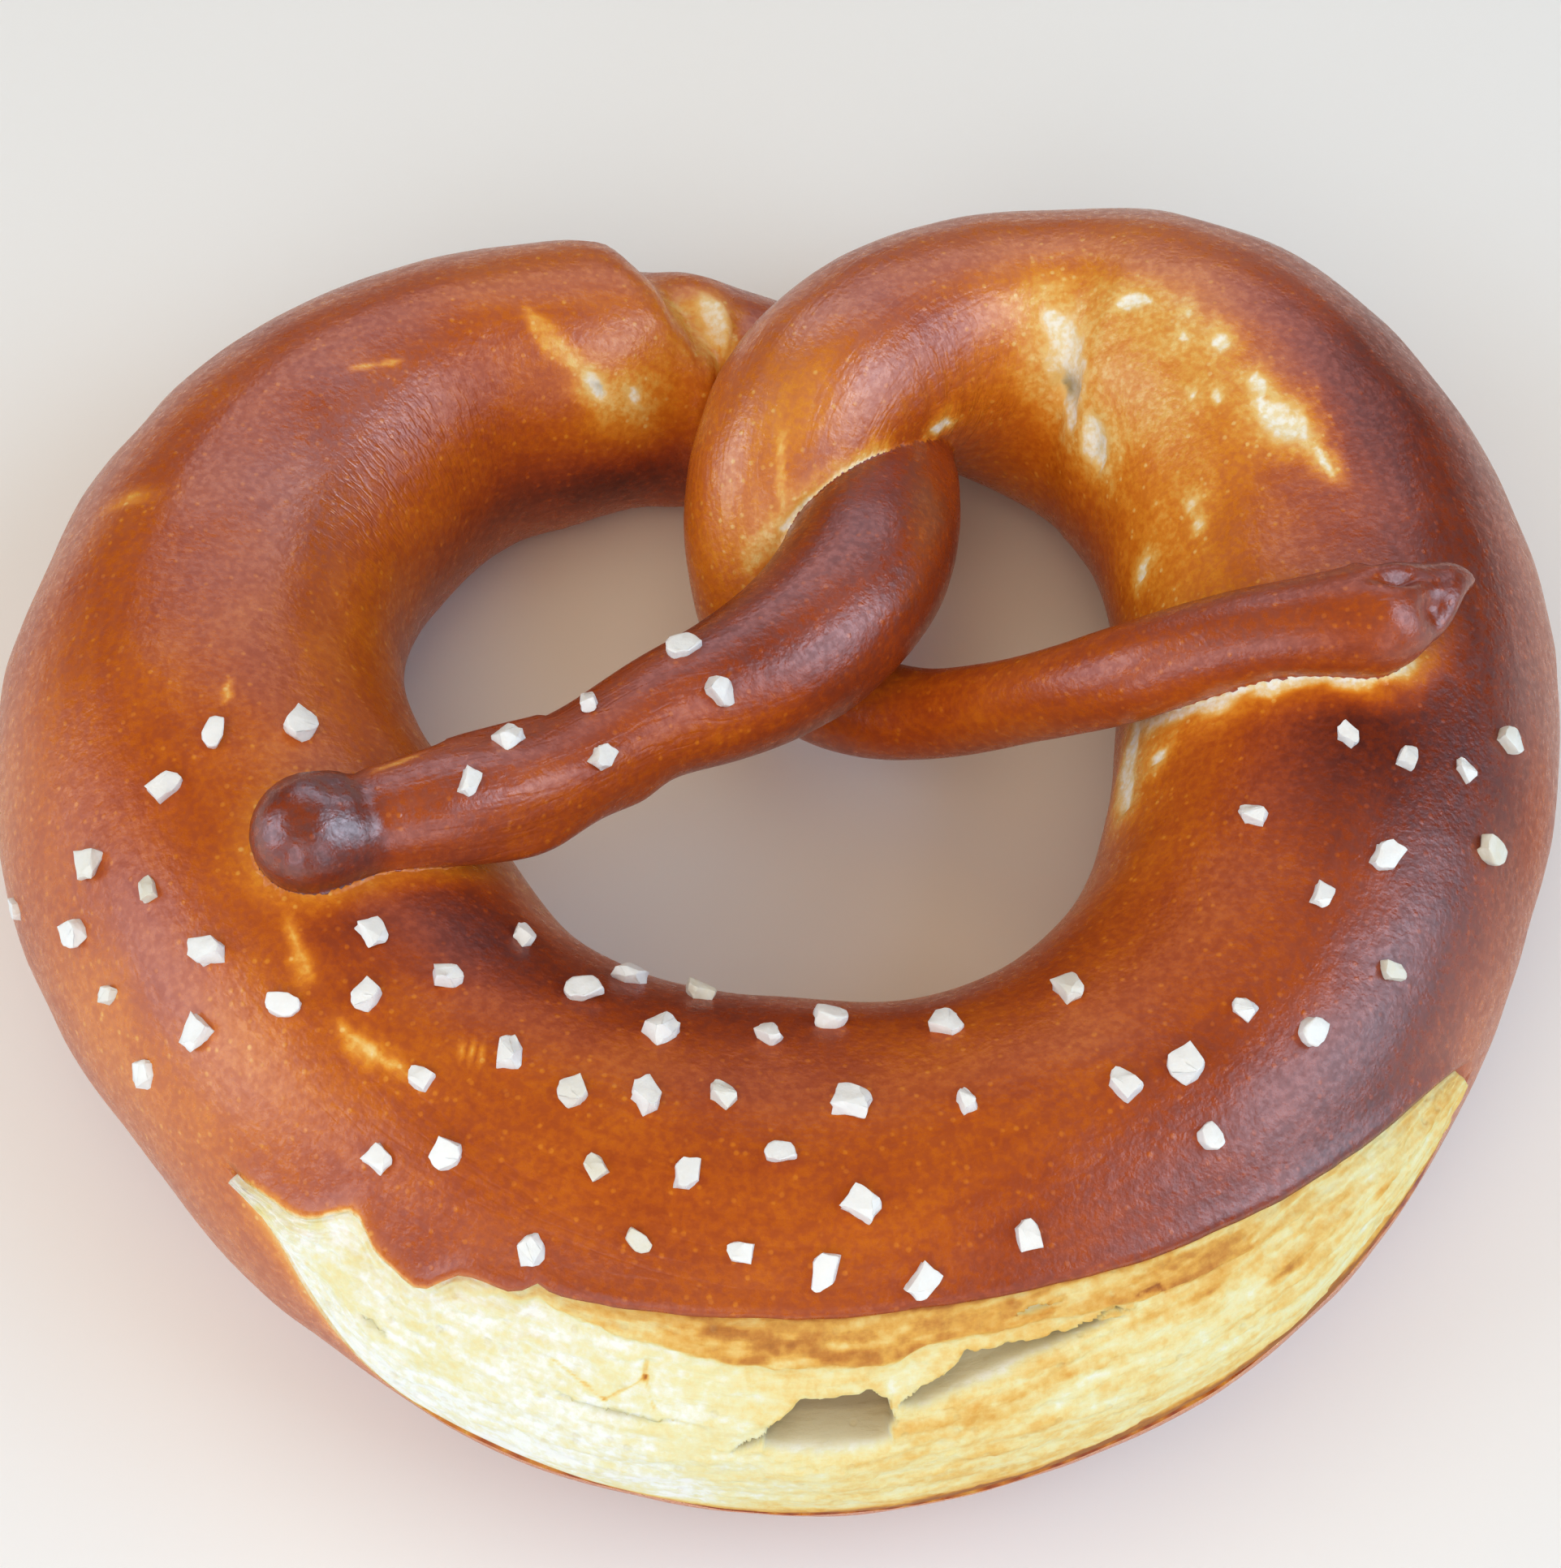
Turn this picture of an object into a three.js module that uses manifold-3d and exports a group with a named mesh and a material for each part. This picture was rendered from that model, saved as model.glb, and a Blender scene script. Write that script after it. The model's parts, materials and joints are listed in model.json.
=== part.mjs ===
// A soft pretzel: one rope of dough, thick in the belly and thin at its two ends, laid in a ring, twisted once
// at the back and folded forward, with both ends pressed onto the ring. The belly has burst open along its outer
// side while baking, and coarse salt sticks to the crust. Millimetres, +Z up, the tray it rests on at z = 0.
import * as THREE from "three";
import { mergeVertices } from "three/addons/utils/BufferGeometryUtils.js";
import Module from "manifold-3d";

const wasm = await Module();
wasm.setup();

const { clamp, degToRad, lerp, smoothstep } = THREE.MathUtils;

// ---- The rope's route ----

const TRAY_SINK = 3; // the round rope is cut flat this far above its lowest point, where it lay on the tray

// The rope from its left end to its right end. Each station is where the rope's middle passes, and its half
// width and half height there. A rope that lies on the tray has its middle's height worked out.
const onTray = (x, y, wide, tall) => ({ x, y, z: tall - TRAY_SINK, wide, tall });
const lifted = (x, y, z, wide, tall) => ({ x, y, z, wide, tall });

const LEFT_TAIL = [
  lifted(-40.6, -16.7, 41.5, 5.4, 5.2),
  lifted(-33.6, -13.8, 39.8, 5.0, 4.4),
  lifted(-25.6, -10.7, 37.5, 5.4, 5.0),
  lifted(-19.1, -6.5, 35, 5.4, 5.2),
  lifted(-12.1, 0.5, 32, 5.6, 5.4),
  lifted(-4.7, 5.5, 29.5, 6.8, 6.4),
  lifted(2.4, 12, 28, 8.0, 7.5),
  lifted(7.9, 21, 26, 8.1, 8.0),
  lifted(9.6, 32.5, 20, 8.5, 8.6),
];
const LEFT_LOOP = [
  lifted(7.9, 46.5, 13, 9.2, 9.2),
  onTray(-3.1, 55.6, 9.9, 11.5),
  onTray(-12.6, 55.8, 11, 12.9),
  onTray(-18.6, 54.2, 12.9, 14.9),
  onTray(-24.1, 53, 14.3, 16.3),
  onTray(-33.1, 50.5, 14.4, 17),
  onTray(-43.9, 42.3, 16, 18.3),
  onTray(-52.9, 28.7, 17.4, 19.4),
  onTray(-56.1, 12.5, 19, 20.6),
  onTray(-53.1, -3.5, 21, 21.4),
];
const BELLY = [
  onTray(-44.1, -18.5, 21.6, 21.8),
  onTray(-32.5, -33.5, 20.7, 22),
  onTray(-17.3, -43.1, 21.8, 22.4),
  onTray(-0.1, -46.8, 22.7, 22.4),
  onTray(15.9, -45.2, 21.3, 22),
  onTray(31.9, -37.8, 20.8, 21.8),
];
const RIGHT_LOOP = [
  onTray(43.9, -23.5, 19.8, 21.4),
  onTray(50.4, -8.5, 20.3, 21.3),
  onTray(53.7, 7.5, 21.2, 21.3),
  onTray(53.4, 23.8, 20.8, 20.9),
  onTray(48.2, 40, 19.4, 20.6),
  onTray(37.9, 51.1, 17.4, 19.4),
  lifted(25.9, 54.7, 17.2, 14.2, 15.8),
  lifted(13.9, 51.3, 22.7, 11.5, 12.2),
];
const RIGHT_TAIL = [
  lifted(4.4, 41.5, 27.5, 10.3, 10),
  lifted(-1.1, 31.5, 23, 9, 9),
  lifted(-1.1, 21.5, 15, 7, 7),
  lifted(5.9, 13.5, 14.5, 5.2, 5.2),
  lifted(13.9, 10.2, 17, 4.3, 4.3),
  lifted(22.2, 7.5, 24, 3.9, 4),
  lifted(30.9, 5.3, 32, 4.4, 4.4),
  lifted(39.9, 5.5, 37, 4.4, 4.2),
  lifted(46.9, 5.5, 40.3, 4.6, 4.2),
  lifted(53.4, 5.5, 41.5, 5.4, 4.6),
  lifted(58.4, 7.5, 41, 3.6, 3.4),
];

const STRETCHES = [LEFT_TAIL, LEFT_LOOP, BELLY, RIGHT_LOOP, RIGHT_TAIL];
const STATIONS = STRETCHES.flat();
const LAST_STATION = STATIONS.length - 1;
// A place along the rope, counted in stations from its left end.
const along = (stretch, steps) => STATIONS.indexOf(stretch[0]) + steps;

// ---- Other driving dimensions ----

// The rope is swept in pieces that share their end rings, each with its own spacing of rings. The last piece
// crosses the first two, so the pieces are joined as solids.
const BODY_SPACING = 4;
const TAIL_SPACING = 3.2;
const PIECES = [
  { from: 0, to: along(LEFT_LOOP, 0), spacing: TAIL_SPACING },
  { from: along(LEFT_LOOP, 0), to: along(BELLY, 3), spacing: BODY_SPACING },
  { from: along(BELLY, 3), to: along(RIGHT_TAIL, -2), spacing: BODY_SPACING },
  { from: along(RIGHT_TAIL, -2), to: LAST_STATION, spacing: TAIL_SPACING },
];
const CRUST_STRIPS = 18; // strips round the rope outside the burst
const CRUMB_STRIPS = 8; // strips across the burst
const DOME_RINGS = 3; // rings that round off each end of the rope

// The burst. Angles are in degrees round the rope: 0 faces out of the ring and 90 faces up. Its two edges
// part from a line that runs from tip to tip.
const BURST = {
  from: along(BELLY, 0.85),
  to: along(RIGHT_LOOP, 0.1),
  leftTip: 33,
  rightTip: 17,
  rise: 29, // how far the upper edge climbs above that line
  skew: 1.25, // over 1, it is highest right of the middle
  drop: 38, // how far the lower edge falls below it
  closing: 0.17, // share of the burst at each tip where the lower edge falls
  depth: 1.3, // how far the crumb lies behind the crust's edge
  swell: 1, // how far it swells out again between the edges
  lip: 0.5, // how far the crust's edge stands proud
  lipWidth: 0.7,
};
const NARROWEST = 6; // half angle of the crumb's strips at the burst's tips, where they lie in the crust
const WIDEST = 48; // and far from the burst
const RELAX = 3; // stations between the two

// Hollows torn into the crumb, as shares of the way along the burst and across it: middle and half size.
const HOLLOWS = [
  { along: 0.44, across: 0.6, length: 0.07, width: 0.13, depth: 4.2 },
  { along: 0.59, across: 0.7, length: 0.11, width: 0.11, depth: 2.4 },
  { along: 0.31, across: 0.56, length: 0.06, width: 0.08, depth: 1.6 },
];

// The tip of the right end is pinched flat.
const PINCH = { from: along(RIGHT_TAIL, 9), flat: 0.72 };

// Salt. Each zone is a stretch of crust that was sprinkled: stations, angles round the rope, and the grains.
const SALT_SEED = 11;
const SALT_ZONES = [
  { from: along(LEFT_TAIL, 1.6), to: along(LEFT_TAIL, 4.6), low: 20, high: 150, grains: 6 },
  { from: along(LEFT_LOOP, 9.2), to: along(BELLY, 0.7), low: 15, high: 115, grains: 13 },
  { from: along(BELLY, 0.7), to: along(BELLY, 3.4), low: 59, high: 140, grains: 25 },
  { from: along(BELLY, 3.4), to: along(RIGHT_LOOP, 0.1), low: 59, high: 125, grains: 11 },
  { from: along(RIGHT_LOOP, 0.1), to: along(RIGHT_LOOP, 1.7), low: 45, high: 135, grains: 8 },
];
const SALT_GAP = 5.5; // least distance between two grains
const SALT_SIZE = [2.3, 3.4]; // shortest and longest grain
const SALT_WIDTH = [0.65, 0.9]; // of a grain's length
const SALT_HEIGHT = [0.55, 0.75]; // of a grain's length
const SALT_SHOWING = 0.3; // how far a grain's middle stands above the crust, as a share of its half height
const SALT_LEAN = 0.25; // how far a grain leans over, at most, as a slope

// ---- The rope ----

const MIDDLE = new THREE.CatmullRomCurve3(
  STATIONS.map((s) => new THREE.Vector3(s.x, s.y, s.z)),
  false,
  "catmullrom",
);
const THICKNESS = new THREE.CatmullRomCurve3(
  STATIONS.map((s) => new THREE.Vector3(s.wide, s.tall, 0)),
  false,
  "catmullrom",
);
const UP = new THREE.Vector3(0, 0, 1);

// The rope's middle, directions and half sizes at a station.
function sectionAt(station) {
  const t = clamp(station / LAST_STATION, 0, 1);
  const ahead = MIDDLE.getTangent(t);
  const outward = ahead.clone().cross(UP).normalize();
  const upward = outward.clone().cross(ahead);
  const size = THICKNESS.getPoint(t);
  const pinch = smoothstep(station, PINCH.from, LAST_STATION);
  return {
    middle: MIDDLE.getPoint(t),
    ahead,
    outward,
    upward,
    wide: size.x,
    tall: size.y * lerp(1, PINCH.flat, pinch),
  };
}

// The burst's two edges at a station, and how open it is there, from 0 to 1.
function burstAt(station) {
  const share = clamp((station - BURST.from) / (BURST.to - BURST.from), 0, 1);
  const line = lerp(BURST.leftTip, BURST.rightTip, share);
  const rise = BURST.rise * Math.sin(Math.PI * share ** BURST.skew) ** 0.6;
  const drop = BURST.drop * smoothstep(Math.min(share, 1 - share), 0, BURST.closing);
  const away = Math.max(BURST.from - station, station - BURST.to, 0) / RELAX;
  const narrowest = lerp(NARROWEST, WIDEST, Math.min(1, away));
  return {
    share,
    open: smoothstep(rise + drop, NARROWEST, BURST.rise),
    lower: line - Math.max(narrowest, drop),
    upper: line + Math.max(narrowest, rise),
  };
}

// How far the crumb lies behind the rope's round section, at a share of the way across the burst.
function crumbDepth(burst, across) {
  let depth = BURST.depth - BURST.swell * Math.sin(Math.PI * across);
  for (const hollow of HOLLOWS) {
    const x = (burst.share - hollow.along) / hollow.length;
    const y = (across - hollow.across) / hollow.width;
    depth += hollow.depth * Math.max(0, 1 - x * x - y * y);
  }
  return depth * burst.open;
}

// The columns of one ring, round from the burst's lower edge: the angle of each, and how far it stands proud.
function columnsAt(station, section) {
  const burst = burstAt(station);
  const lipAngle = THREE.MathUtils.radToDeg(BURST.lipWidth / section.wide);
  const columns = [];
  for (let j = 0; j <= CRUMB_STRIPS; j++) {
    const across = j / CRUMB_STRIPS;
    columns.push({
      angle: lerp(burst.lower, burst.upper, across),
      proud: -crumbDepth(burst, across),
    });
  }
  const start = burst.upper + lipAngle;
  const end = burst.lower - lipAngle + 360;
  for (let j = 0; j <= CRUST_STRIPS; j++) {
    const atLip = j === 0 || j === CRUST_STRIPS;
    columns.push({
      angle: lerp(start, end, j / CRUST_STRIPS),
      proud: atLip ? BURST.lip * burst.open : 0,
    });
  }
  return columns;
}

// The point of the rope's surface at an angle, standing proud by some millimetres.
function surfacePoint(section, degrees, proud, scale = 1) {
  const angle = degToRad(degrees);
  return section.middle
    .clone()
    .addScaledVector(section.outward, Math.cos(angle) * (section.wide * scale + proud))
    .addScaledVector(section.upward, Math.sin(angle) * (section.tall * scale + proud));
}

function ringAt(station, scale = 1, shift = 0) {
  const section = sectionAt(station);
  section.middle.addScaledVector(section.ahead, shift);
  return columnsAt(station, section).map((c) => surfacePoint(section, c.angle, c.proud, scale));
}

// Rings that round off the rope's end: side is -1 at its start and 1 at its end.
function domeRings(station, side) {
  const reach = sectionAt(station).wide;
  return Array.from({ length: DOME_RINGS }, (_, k) => {
    const angle = ((k + 1) / (DOME_RINGS + 1)) * (Math.PI / 2);
    return ringAt(station, Math.cos(angle), side * reach * Math.sin(angle));
  });
}

function ropePiece({ from, to, spacing }) {
  let length = 0;
  for (let i = from; i < to; i++) {
    length += Math.hypot(
      STATIONS[i + 1].x - STATIONS[i].x,
      STATIONS[i + 1].y - STATIONS[i].y,
      STATIONS[i + 1].z - STATIONS[i].z,
    );
  }
  const steps = Math.round(length / spacing);
  const rings = Array.from({ length: steps + 1 }, (_, i) => ringAt(lerp(from, to, i / steps)));
  if (from === 0) rings.unshift(...domeRings(from, -1).reverse());
  if (to === LAST_STATION) rings.push(...domeRings(to, 1));
  return solidFromRings(rings);
}

// ---- Solids ----

function solidFrom(positions, faces) {
  return new wasm.Manifold(
    new wasm.Mesh({
      numProp: 3,
      vertProperties: new Float32Array(positions),
      triVerts: new Uint32Array(faces),
    }),
  );
}

// A closed solid through rings of points, with a flat face at each end.
function solidFromRings(rings) {
  const count = rings[0].length;
  const centreOf = (ring) =>
    ring.reduce((sum, point) => sum.add(point), new THREE.Vector3()).divideScalar(count);
  const points = [...rings.flat(), centreOf(rings[0]), centreOf(rings.at(-1))];
  const faces = [];
  for (let i = 0; i + 1 < rings.length; i++) {
    for (let j = 0; j < count; j++) {
      const a = i * count + j;
      const b = i * count + ((j + 1) % count);
      faces.push(a, a + count, b, b, a + count, b + count);
    }
  }
  const lastRing = (rings.length - 1) * count;
  for (let j = 0; j < count; j++) {
    const next = (j + 1) % count;
    faces.push(rings.length * count, j, next);
    faces.push(rings.length * count + 1, lastRing + next, lastRing + j);
  }
  return solidFrom(points.flatMap((point) => point.toArray()), faces);
}

function solidFromGeometry(geometry) {
  geometry.deleteAttribute("normal");
  geometry.deleteAttribute("uv");
  const merged = mergeVertices(geometry);
  const faces = merged.index ?? { array: merged.attributes.position.array.map((_, i) => i) };
  return solidFrom(merged.attributes.position.array, faces.array);
}

function geometryFrom(solid) {
  const mesh = solid.getMesh();
  const geometry = new THREE.BufferGeometry();
  geometry.setAttribute("position", new THREE.BufferAttribute(mesh.vertProperties, 3));
  geometry.setIndex(new THREE.BufferAttribute(mesh.triVerts, 1));
  geometry.computeVertexNormals();
  return geometry;
}

// ---- Dough ----

function makeDough() {
  const [first, ...others] = PIECES.map(ropePiece);
  const rope = others.reduce((sum, piece) => sum.add(piece), first);
  // Everything under the tray's plane is cut off.
  const room = new THREE.BoxGeometry(400, 400, 100).translate(0, 0, 50);
  return rope.intersect(solidFromGeometry(room));
}

// ---- Salt ----

// Repeatable random numbers from 0 to 1.
function drawsFrom(seed) {
  let state = seed;
  return () => {
    state = (state * 16807) % 2147483647;
    return state / 2147483647;
  };
}

// Whether a point on the rope at a station isn't covered by another stretch of the rope.
function isOpen(point, station) {
  const reach = 3; // stations that count as the same stretch
  for (let other = 0; other <= LAST_STATION; other += 0.25) {
    if (Math.abs(other - station) < reach) continue;
    const section = sectionAt(other);
    if (section.middle.distanceTo(point) < section.wide + 2) return false;
  }
  return true;
}

// Where the grains lie, and each one's size, turn and lean.
function saltGrains() {
  const draw = drawsFrom(SALT_SEED);
  const between = (low, high) => lerp(low, high, draw());
  const grains = [];
  for (const zone of SALT_ZONES) {
    let left = zone.grains;
    while (left > 0) {
      const station = between(zone.from, zone.to);
      const angle = between(zone.low, zone.high);
      const section = sectionAt(station);
      const point = surfacePoint(section, angle, 0);
      if (grains.some((g) => g.point.distanceTo(point) < SALT_GAP)) continue;
      if (!isOpen(point, station)) continue;
      const length = between(...SALT_SIZE);
      grains.push({
        point,
        length,
        width: length * between(...SALT_WIDTH),
        height: length * between(...SALT_HEIGHT),
        turn: between(0, Math.PI),
        facing: surfacePoint(section, angle, 1)
          .sub(point)
          .add(new THREE.Vector3(between(-1, 1), between(-1, 1), 0).multiplyScalar(SALT_LEAN))
          .normalize(),
      });
      left -= 1;
    }
  }
  return grains;
}

function saltSolid(grain) {
  const geometry = new THREE.IcosahedronGeometry(1, 0)
    .scale(grain.length / 2, grain.width / 2, grain.height / 2)
    .rotateZ(grain.turn)
    .applyQuaternion(new THREE.Quaternion().setFromUnitVectors(UP, grain.facing));
  const { x, y, z } = grain.point
    .clone()
    .addScaledVector(grain.facing, (grain.height / 2) * SALT_SHOWING);
  return solidFromGeometry(geometry.translate(x, y, z));
}

// ---- The object ----

const salted = saltGrains().reduce((solid, grain) => solid.add(saltSolid(grain)), makeDough());

const pretzel = new THREE.Mesh(
  geometryFrom(salted),
  new THREE.MeshStandardMaterial({ color: 0xa4501c, roughness: 0.45, metalness: 0 }),
);
pretzel.name = "pretzel";

const group = new THREE.Group();
group.add(pretzel);

export default group;
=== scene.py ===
"""A baked soft pretzel: the crust of one knotted rope of dough, the crumb that shows where its belly burst
open, and coarse salt. Shapes are worked out in millimetres, and a finished piece is turned into metres."""

import itertools
import json
import math

import bpy
import numpy as np
from mathutils import Matrix, Vector

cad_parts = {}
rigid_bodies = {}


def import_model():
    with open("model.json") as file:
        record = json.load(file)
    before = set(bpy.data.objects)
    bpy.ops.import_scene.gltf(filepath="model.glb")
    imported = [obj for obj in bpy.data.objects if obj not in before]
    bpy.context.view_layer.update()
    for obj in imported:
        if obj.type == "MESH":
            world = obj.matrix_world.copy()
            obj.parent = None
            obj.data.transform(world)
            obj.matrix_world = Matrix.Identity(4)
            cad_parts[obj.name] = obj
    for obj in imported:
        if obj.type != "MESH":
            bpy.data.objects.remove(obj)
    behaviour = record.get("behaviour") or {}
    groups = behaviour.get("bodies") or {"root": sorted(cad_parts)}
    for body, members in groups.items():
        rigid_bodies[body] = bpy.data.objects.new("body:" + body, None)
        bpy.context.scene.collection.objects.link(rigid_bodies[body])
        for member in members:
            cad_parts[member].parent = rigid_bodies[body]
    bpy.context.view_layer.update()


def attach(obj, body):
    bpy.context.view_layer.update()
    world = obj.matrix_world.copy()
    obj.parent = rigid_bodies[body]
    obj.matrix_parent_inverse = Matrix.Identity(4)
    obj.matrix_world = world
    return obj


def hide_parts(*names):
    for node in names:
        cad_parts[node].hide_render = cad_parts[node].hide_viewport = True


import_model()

MM = 0.001
UP = np.array([0.0, 0.0, 1.0])

# ---- The rope's route ----

TRAY_SINK = 3  # the rope is flat this far above its lowest point, where it lay on the tray


def on_tray(x, y, wide, tall):
    return x, y, tall - TRAY_SINK, wide, tall


def lifted(x, y, z, wide, tall):
    return x, y, z, wide, tall


# The rope from its left end to its right end. Each station is where the rope's middle passes (x, y, z), and
# its half width and half height there. A rope that lies on the tray has its middle's height worked out.
ROUTE = {
    "left tail": [
        lifted(-40.6, -16.7, 41.5, 5.4, 5.2),
        lifted(-33.6, -13.8, 39.8, 5.0, 4.4),
        lifted(-25.6, -10.7, 37.5, 5.4, 5.0),
        lifted(-19.1, -6.5, 35, 5.4, 5.2),
        lifted(-12.1, 0.5, 32, 5.6, 5.4),
        lifted(-4.7, 5.5, 29.5, 6.8, 6.4),
        lifted(2.4, 12, 28, 8.0, 7.5),
        lifted(7.9, 21, 26, 8.1, 8.0),
        lifted(9.6, 32.5, 20, 8.5, 8.6),
    ],
    "left loop": [
        lifted(7.9, 46.5, 13, 9.2, 9.2),
        on_tray(-3.1, 55.6, 9.9, 11.5),
        on_tray(-12.6, 55.8, 11, 12.9),
        on_tray(-18.6, 54.2, 12.9, 14.9),
        on_tray(-24.1, 53, 14.3, 16.3),
        on_tray(-33.1, 50.5, 14.4, 17),
        on_tray(-43.9, 42.3, 16, 18.3),
        on_tray(-52.9, 28.7, 17.4, 19.4),
        on_tray(-56.1, 12.5, 19, 20.6),
        on_tray(-53.1, -3.5, 21, 21.4),
    ],
    "belly": [
        on_tray(-44.1, -18.5, 21.6, 21.8),
        on_tray(-32.5, -33.5, 20.7, 22),
        on_tray(-17.3, -43.1, 21.8, 22.4),
        on_tray(-0.1, -46.8, 22.7, 22.4),
        on_tray(15.9, -45.2, 21.3, 22),
        on_tray(31.9, -37.8, 20.8, 21.8),
    ],
    "right loop": [
        on_tray(43.9, -23.5, 19.8, 21.4),
        on_tray(50.4, -8.5, 20.3, 21.3),
        on_tray(53.7, 7.5, 21.2, 21.3),
        on_tray(53.4, 23.8, 20.8, 20.9),
        on_tray(48.2, 40, 19.4, 20.6),
        on_tray(37.9, 51.1, 17.4, 19.4),
        lifted(25.9, 54.7, 17.2, 14.2, 15.8),
        lifted(13.9, 51.3, 22.7, 11.5, 12.2),
    ],
    "right tail": [
        lifted(4.4, 41.5, 27.5, 10.3, 10),
        lifted(-1.1, 31.5, 23, 9, 9),
        lifted(-1.1, 21.5, 15, 7, 7),
        lifted(5.9, 13.5, 14.5, 5.2, 5.2),
        lifted(13.9, 10.2, 17, 4.3, 4.3),
        lifted(22.2, 7.5, 24, 3.9, 4),
        lifted(30.9, 5.3, 32, 4.4, 4.4),
        lifted(39.9, 5.5, 37, 4.4, 4.2),
        lifted(46.9, 5.5, 40.3, 4.6, 4.2),
        lifted(53.4, 5.5, 41.5, 5.4, 4.6),
        lifted(58.4, 7.5, 41, 3.6, 3.4),
    ],
}
STATIONS = np.array([station for stretch in ROUTE.values() for station in stretch])
LAST_STATION = len(STATIONS) - 1
# The number of each stretch's first station. A place along the rope is counted from one of them.
LEFT_TAIL, LEFT_LOOP, BELLY, RIGHT_LOOP, RIGHT_TAIL = np.cumsum(
    [0] + [len(stretch) for stretch in ROUTE.values()]
)[:-1]

# The tip of the right end is pinched flat, and cut off at a slant: it reaches further on one side.
PINCH_FROM = RIGHT_TAIL + 9
PINCH_FLAT = 0.72
SLANT_FROM = PINCH_FROM - 0.6
SLANT = 2.0  # how far it reaches past its middle
SLANT_TOWARDS = 150  # the angle round the rope of the side that reaches furthest

# ---- The burst ----

# Angles are in degrees round the rope: 0 faces out of the ring and 90 faces up. The burst's two edges part
# from a line that runs from tip to tip.
BURST_FROM = BELLY + 0.85
BURST_TO = RIGHT_LOOP + 0.1
LEFT_TIP, RIGHT_TIP = 33, 17
RISE = 29  # how far the upper edge climbs above that line
SKEW = 1.25  # over 1, it is highest right of the middle
RISE_FULLNESS = 0.6  # under 1, it climbs fast at the tips
DROP = 31  # how far the lower edge falls below the line
# In shares of the burst: at the left tip each edge leaves the line by WEDGE degrees over WEDGE_SHARE, then
# the upper edge climbs over SPLIT_LEFT and the lower one falls over CLOSING_LEFT. From the right tip it falls
# over CLOSING_RIGHT, evenly if CLOSING_FULLNESS is 1 and faster at the tip if it is less.
WEDGE, WEDGE_SHARE = 2.6, 0.05
SPLIT_LEFT = (0.05, 0.11)
CLOSING_LEFT = (0.03, 0.17)
CLOSING_RIGHT, CLOSING_FULLNESS = 0.5, 0.85
OPEN = 0.03  # the share of the burst from either tip over which the crust opens
# Half the angle between the edges is at least NARROWEST in the burst, and WIDEST from RELAX stations past it.
NARROWEST, WIDEST = 0.7, 48
RELAX = 3
CRUMB_DEPTH = 1.3  # how far the crumb lies behind the crust's edge
CRUMB_SWELL = 1  # how far it swells out again between the edges
LIP = 0.45  # how far the crust's edge stands proud
LIP_REACH = 1.6
UNDERCUT = 0.1  # how far the crust draws back under the crumb's lower edge
BED_DEPTH = 3.6  # how deep the crust is hollowed under the crumb

# Where the upper edge strays from its smooth line: station, reach in stations, and degrees.
TONGUES = [
    (BELLY + 1.36, 0.1, 3),
    (BELLY + 1.6, 0.16, -6.5),
    (BELLY + 1.72, 0.08, -3.5),
    (BELLY + 2.02, 0.08, -2),
    (BELLY + 2.12, 0.04, 2),
]

# ---- Making and measuring ----


def unit(vectors):
    return vectors / np.linalg.norm(vectors, axis=-1, keepdims=True)


def mix(a, b, share):
    return a + (b - a) * share


def smooth(value, start, end):
    """0 at start and before it, 1 at end and past it, and eased between. start may be the larger."""
    share = np.clip((value - start) / (end - start), 0, 1)
    return share * share * (3 - 2 * share)


def hill(value, middle, reach):
    """1 at the middle, falling to 0 some way past the reach."""
    return np.exp(-(((value - middle) / reach) ** 2))


NOISE_CELLS = 64
NOISE_LATTICE = np.random.default_rng(5).uniform(-1, 1, (NOISE_CELLS,) * 3)
NOISE_TILT = np.array(Matrix.Rotation(0.9, 3, (1, 2, 3)))  # keeps the lattice's planes off the object's axes


def noise(points, size, shift=0):
    """Smooth random values from -1 to 1 that change over `size`, one for each point."""
    places = (points / np.asarray(size)) @ NOISE_TILT + shift
    first = np.floor(places).astype(int)
    share = places - first
    share = share**3 * (10 - 15 * share + 6 * share**2)
    total = np.zeros(len(points))
    for corner in itertools.product((0, 1), repeat=3):
        weight = np.prod(np.where(corner, share, 1 - share), axis=-1)
        total += weight * NOISE_LATTICE[tuple(((first + corner) % NOISE_CELLS).T)]
    return total


def through(values, stations):
    """The smooth curve through the values at whole stations, read at stations that may be fractions."""
    padded = np.vstack([2 * values[0] - values[1], values, 2 * values[-1] - values[-2]])
    first = np.clip(np.floor(stations).astype(int), 0, len(values) - 2)
    t = (stations - first)[:, None]
    before, start, end, after = (padded[first + k] for k in range(4))
    leave, arrive = (end - before) / 2, (after - start) / 2
    cubic = 2 * start - 2 * end + leave + arrive
    square = -3 * start + 3 * end - 2 * leave - arrive
    return cubic * t**3 + square * t**2 + leave * t + start


EASE = 0.45  # over how many stations the bends of the route are eased


def eased(values, stations):
    """The curve through the values, with its sharp bends eased."""
    before = through(values, np.maximum(stations - EASE, 0))
    after = through(values, np.minimum(stations + EASE, LAST_STATION))
    share = smooth(np.minimum(stations, LAST_STATION - stations), 0, 2)[:, None]
    return mix(through(values, stations), (before + after) / 2, 0.5 * share)


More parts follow.
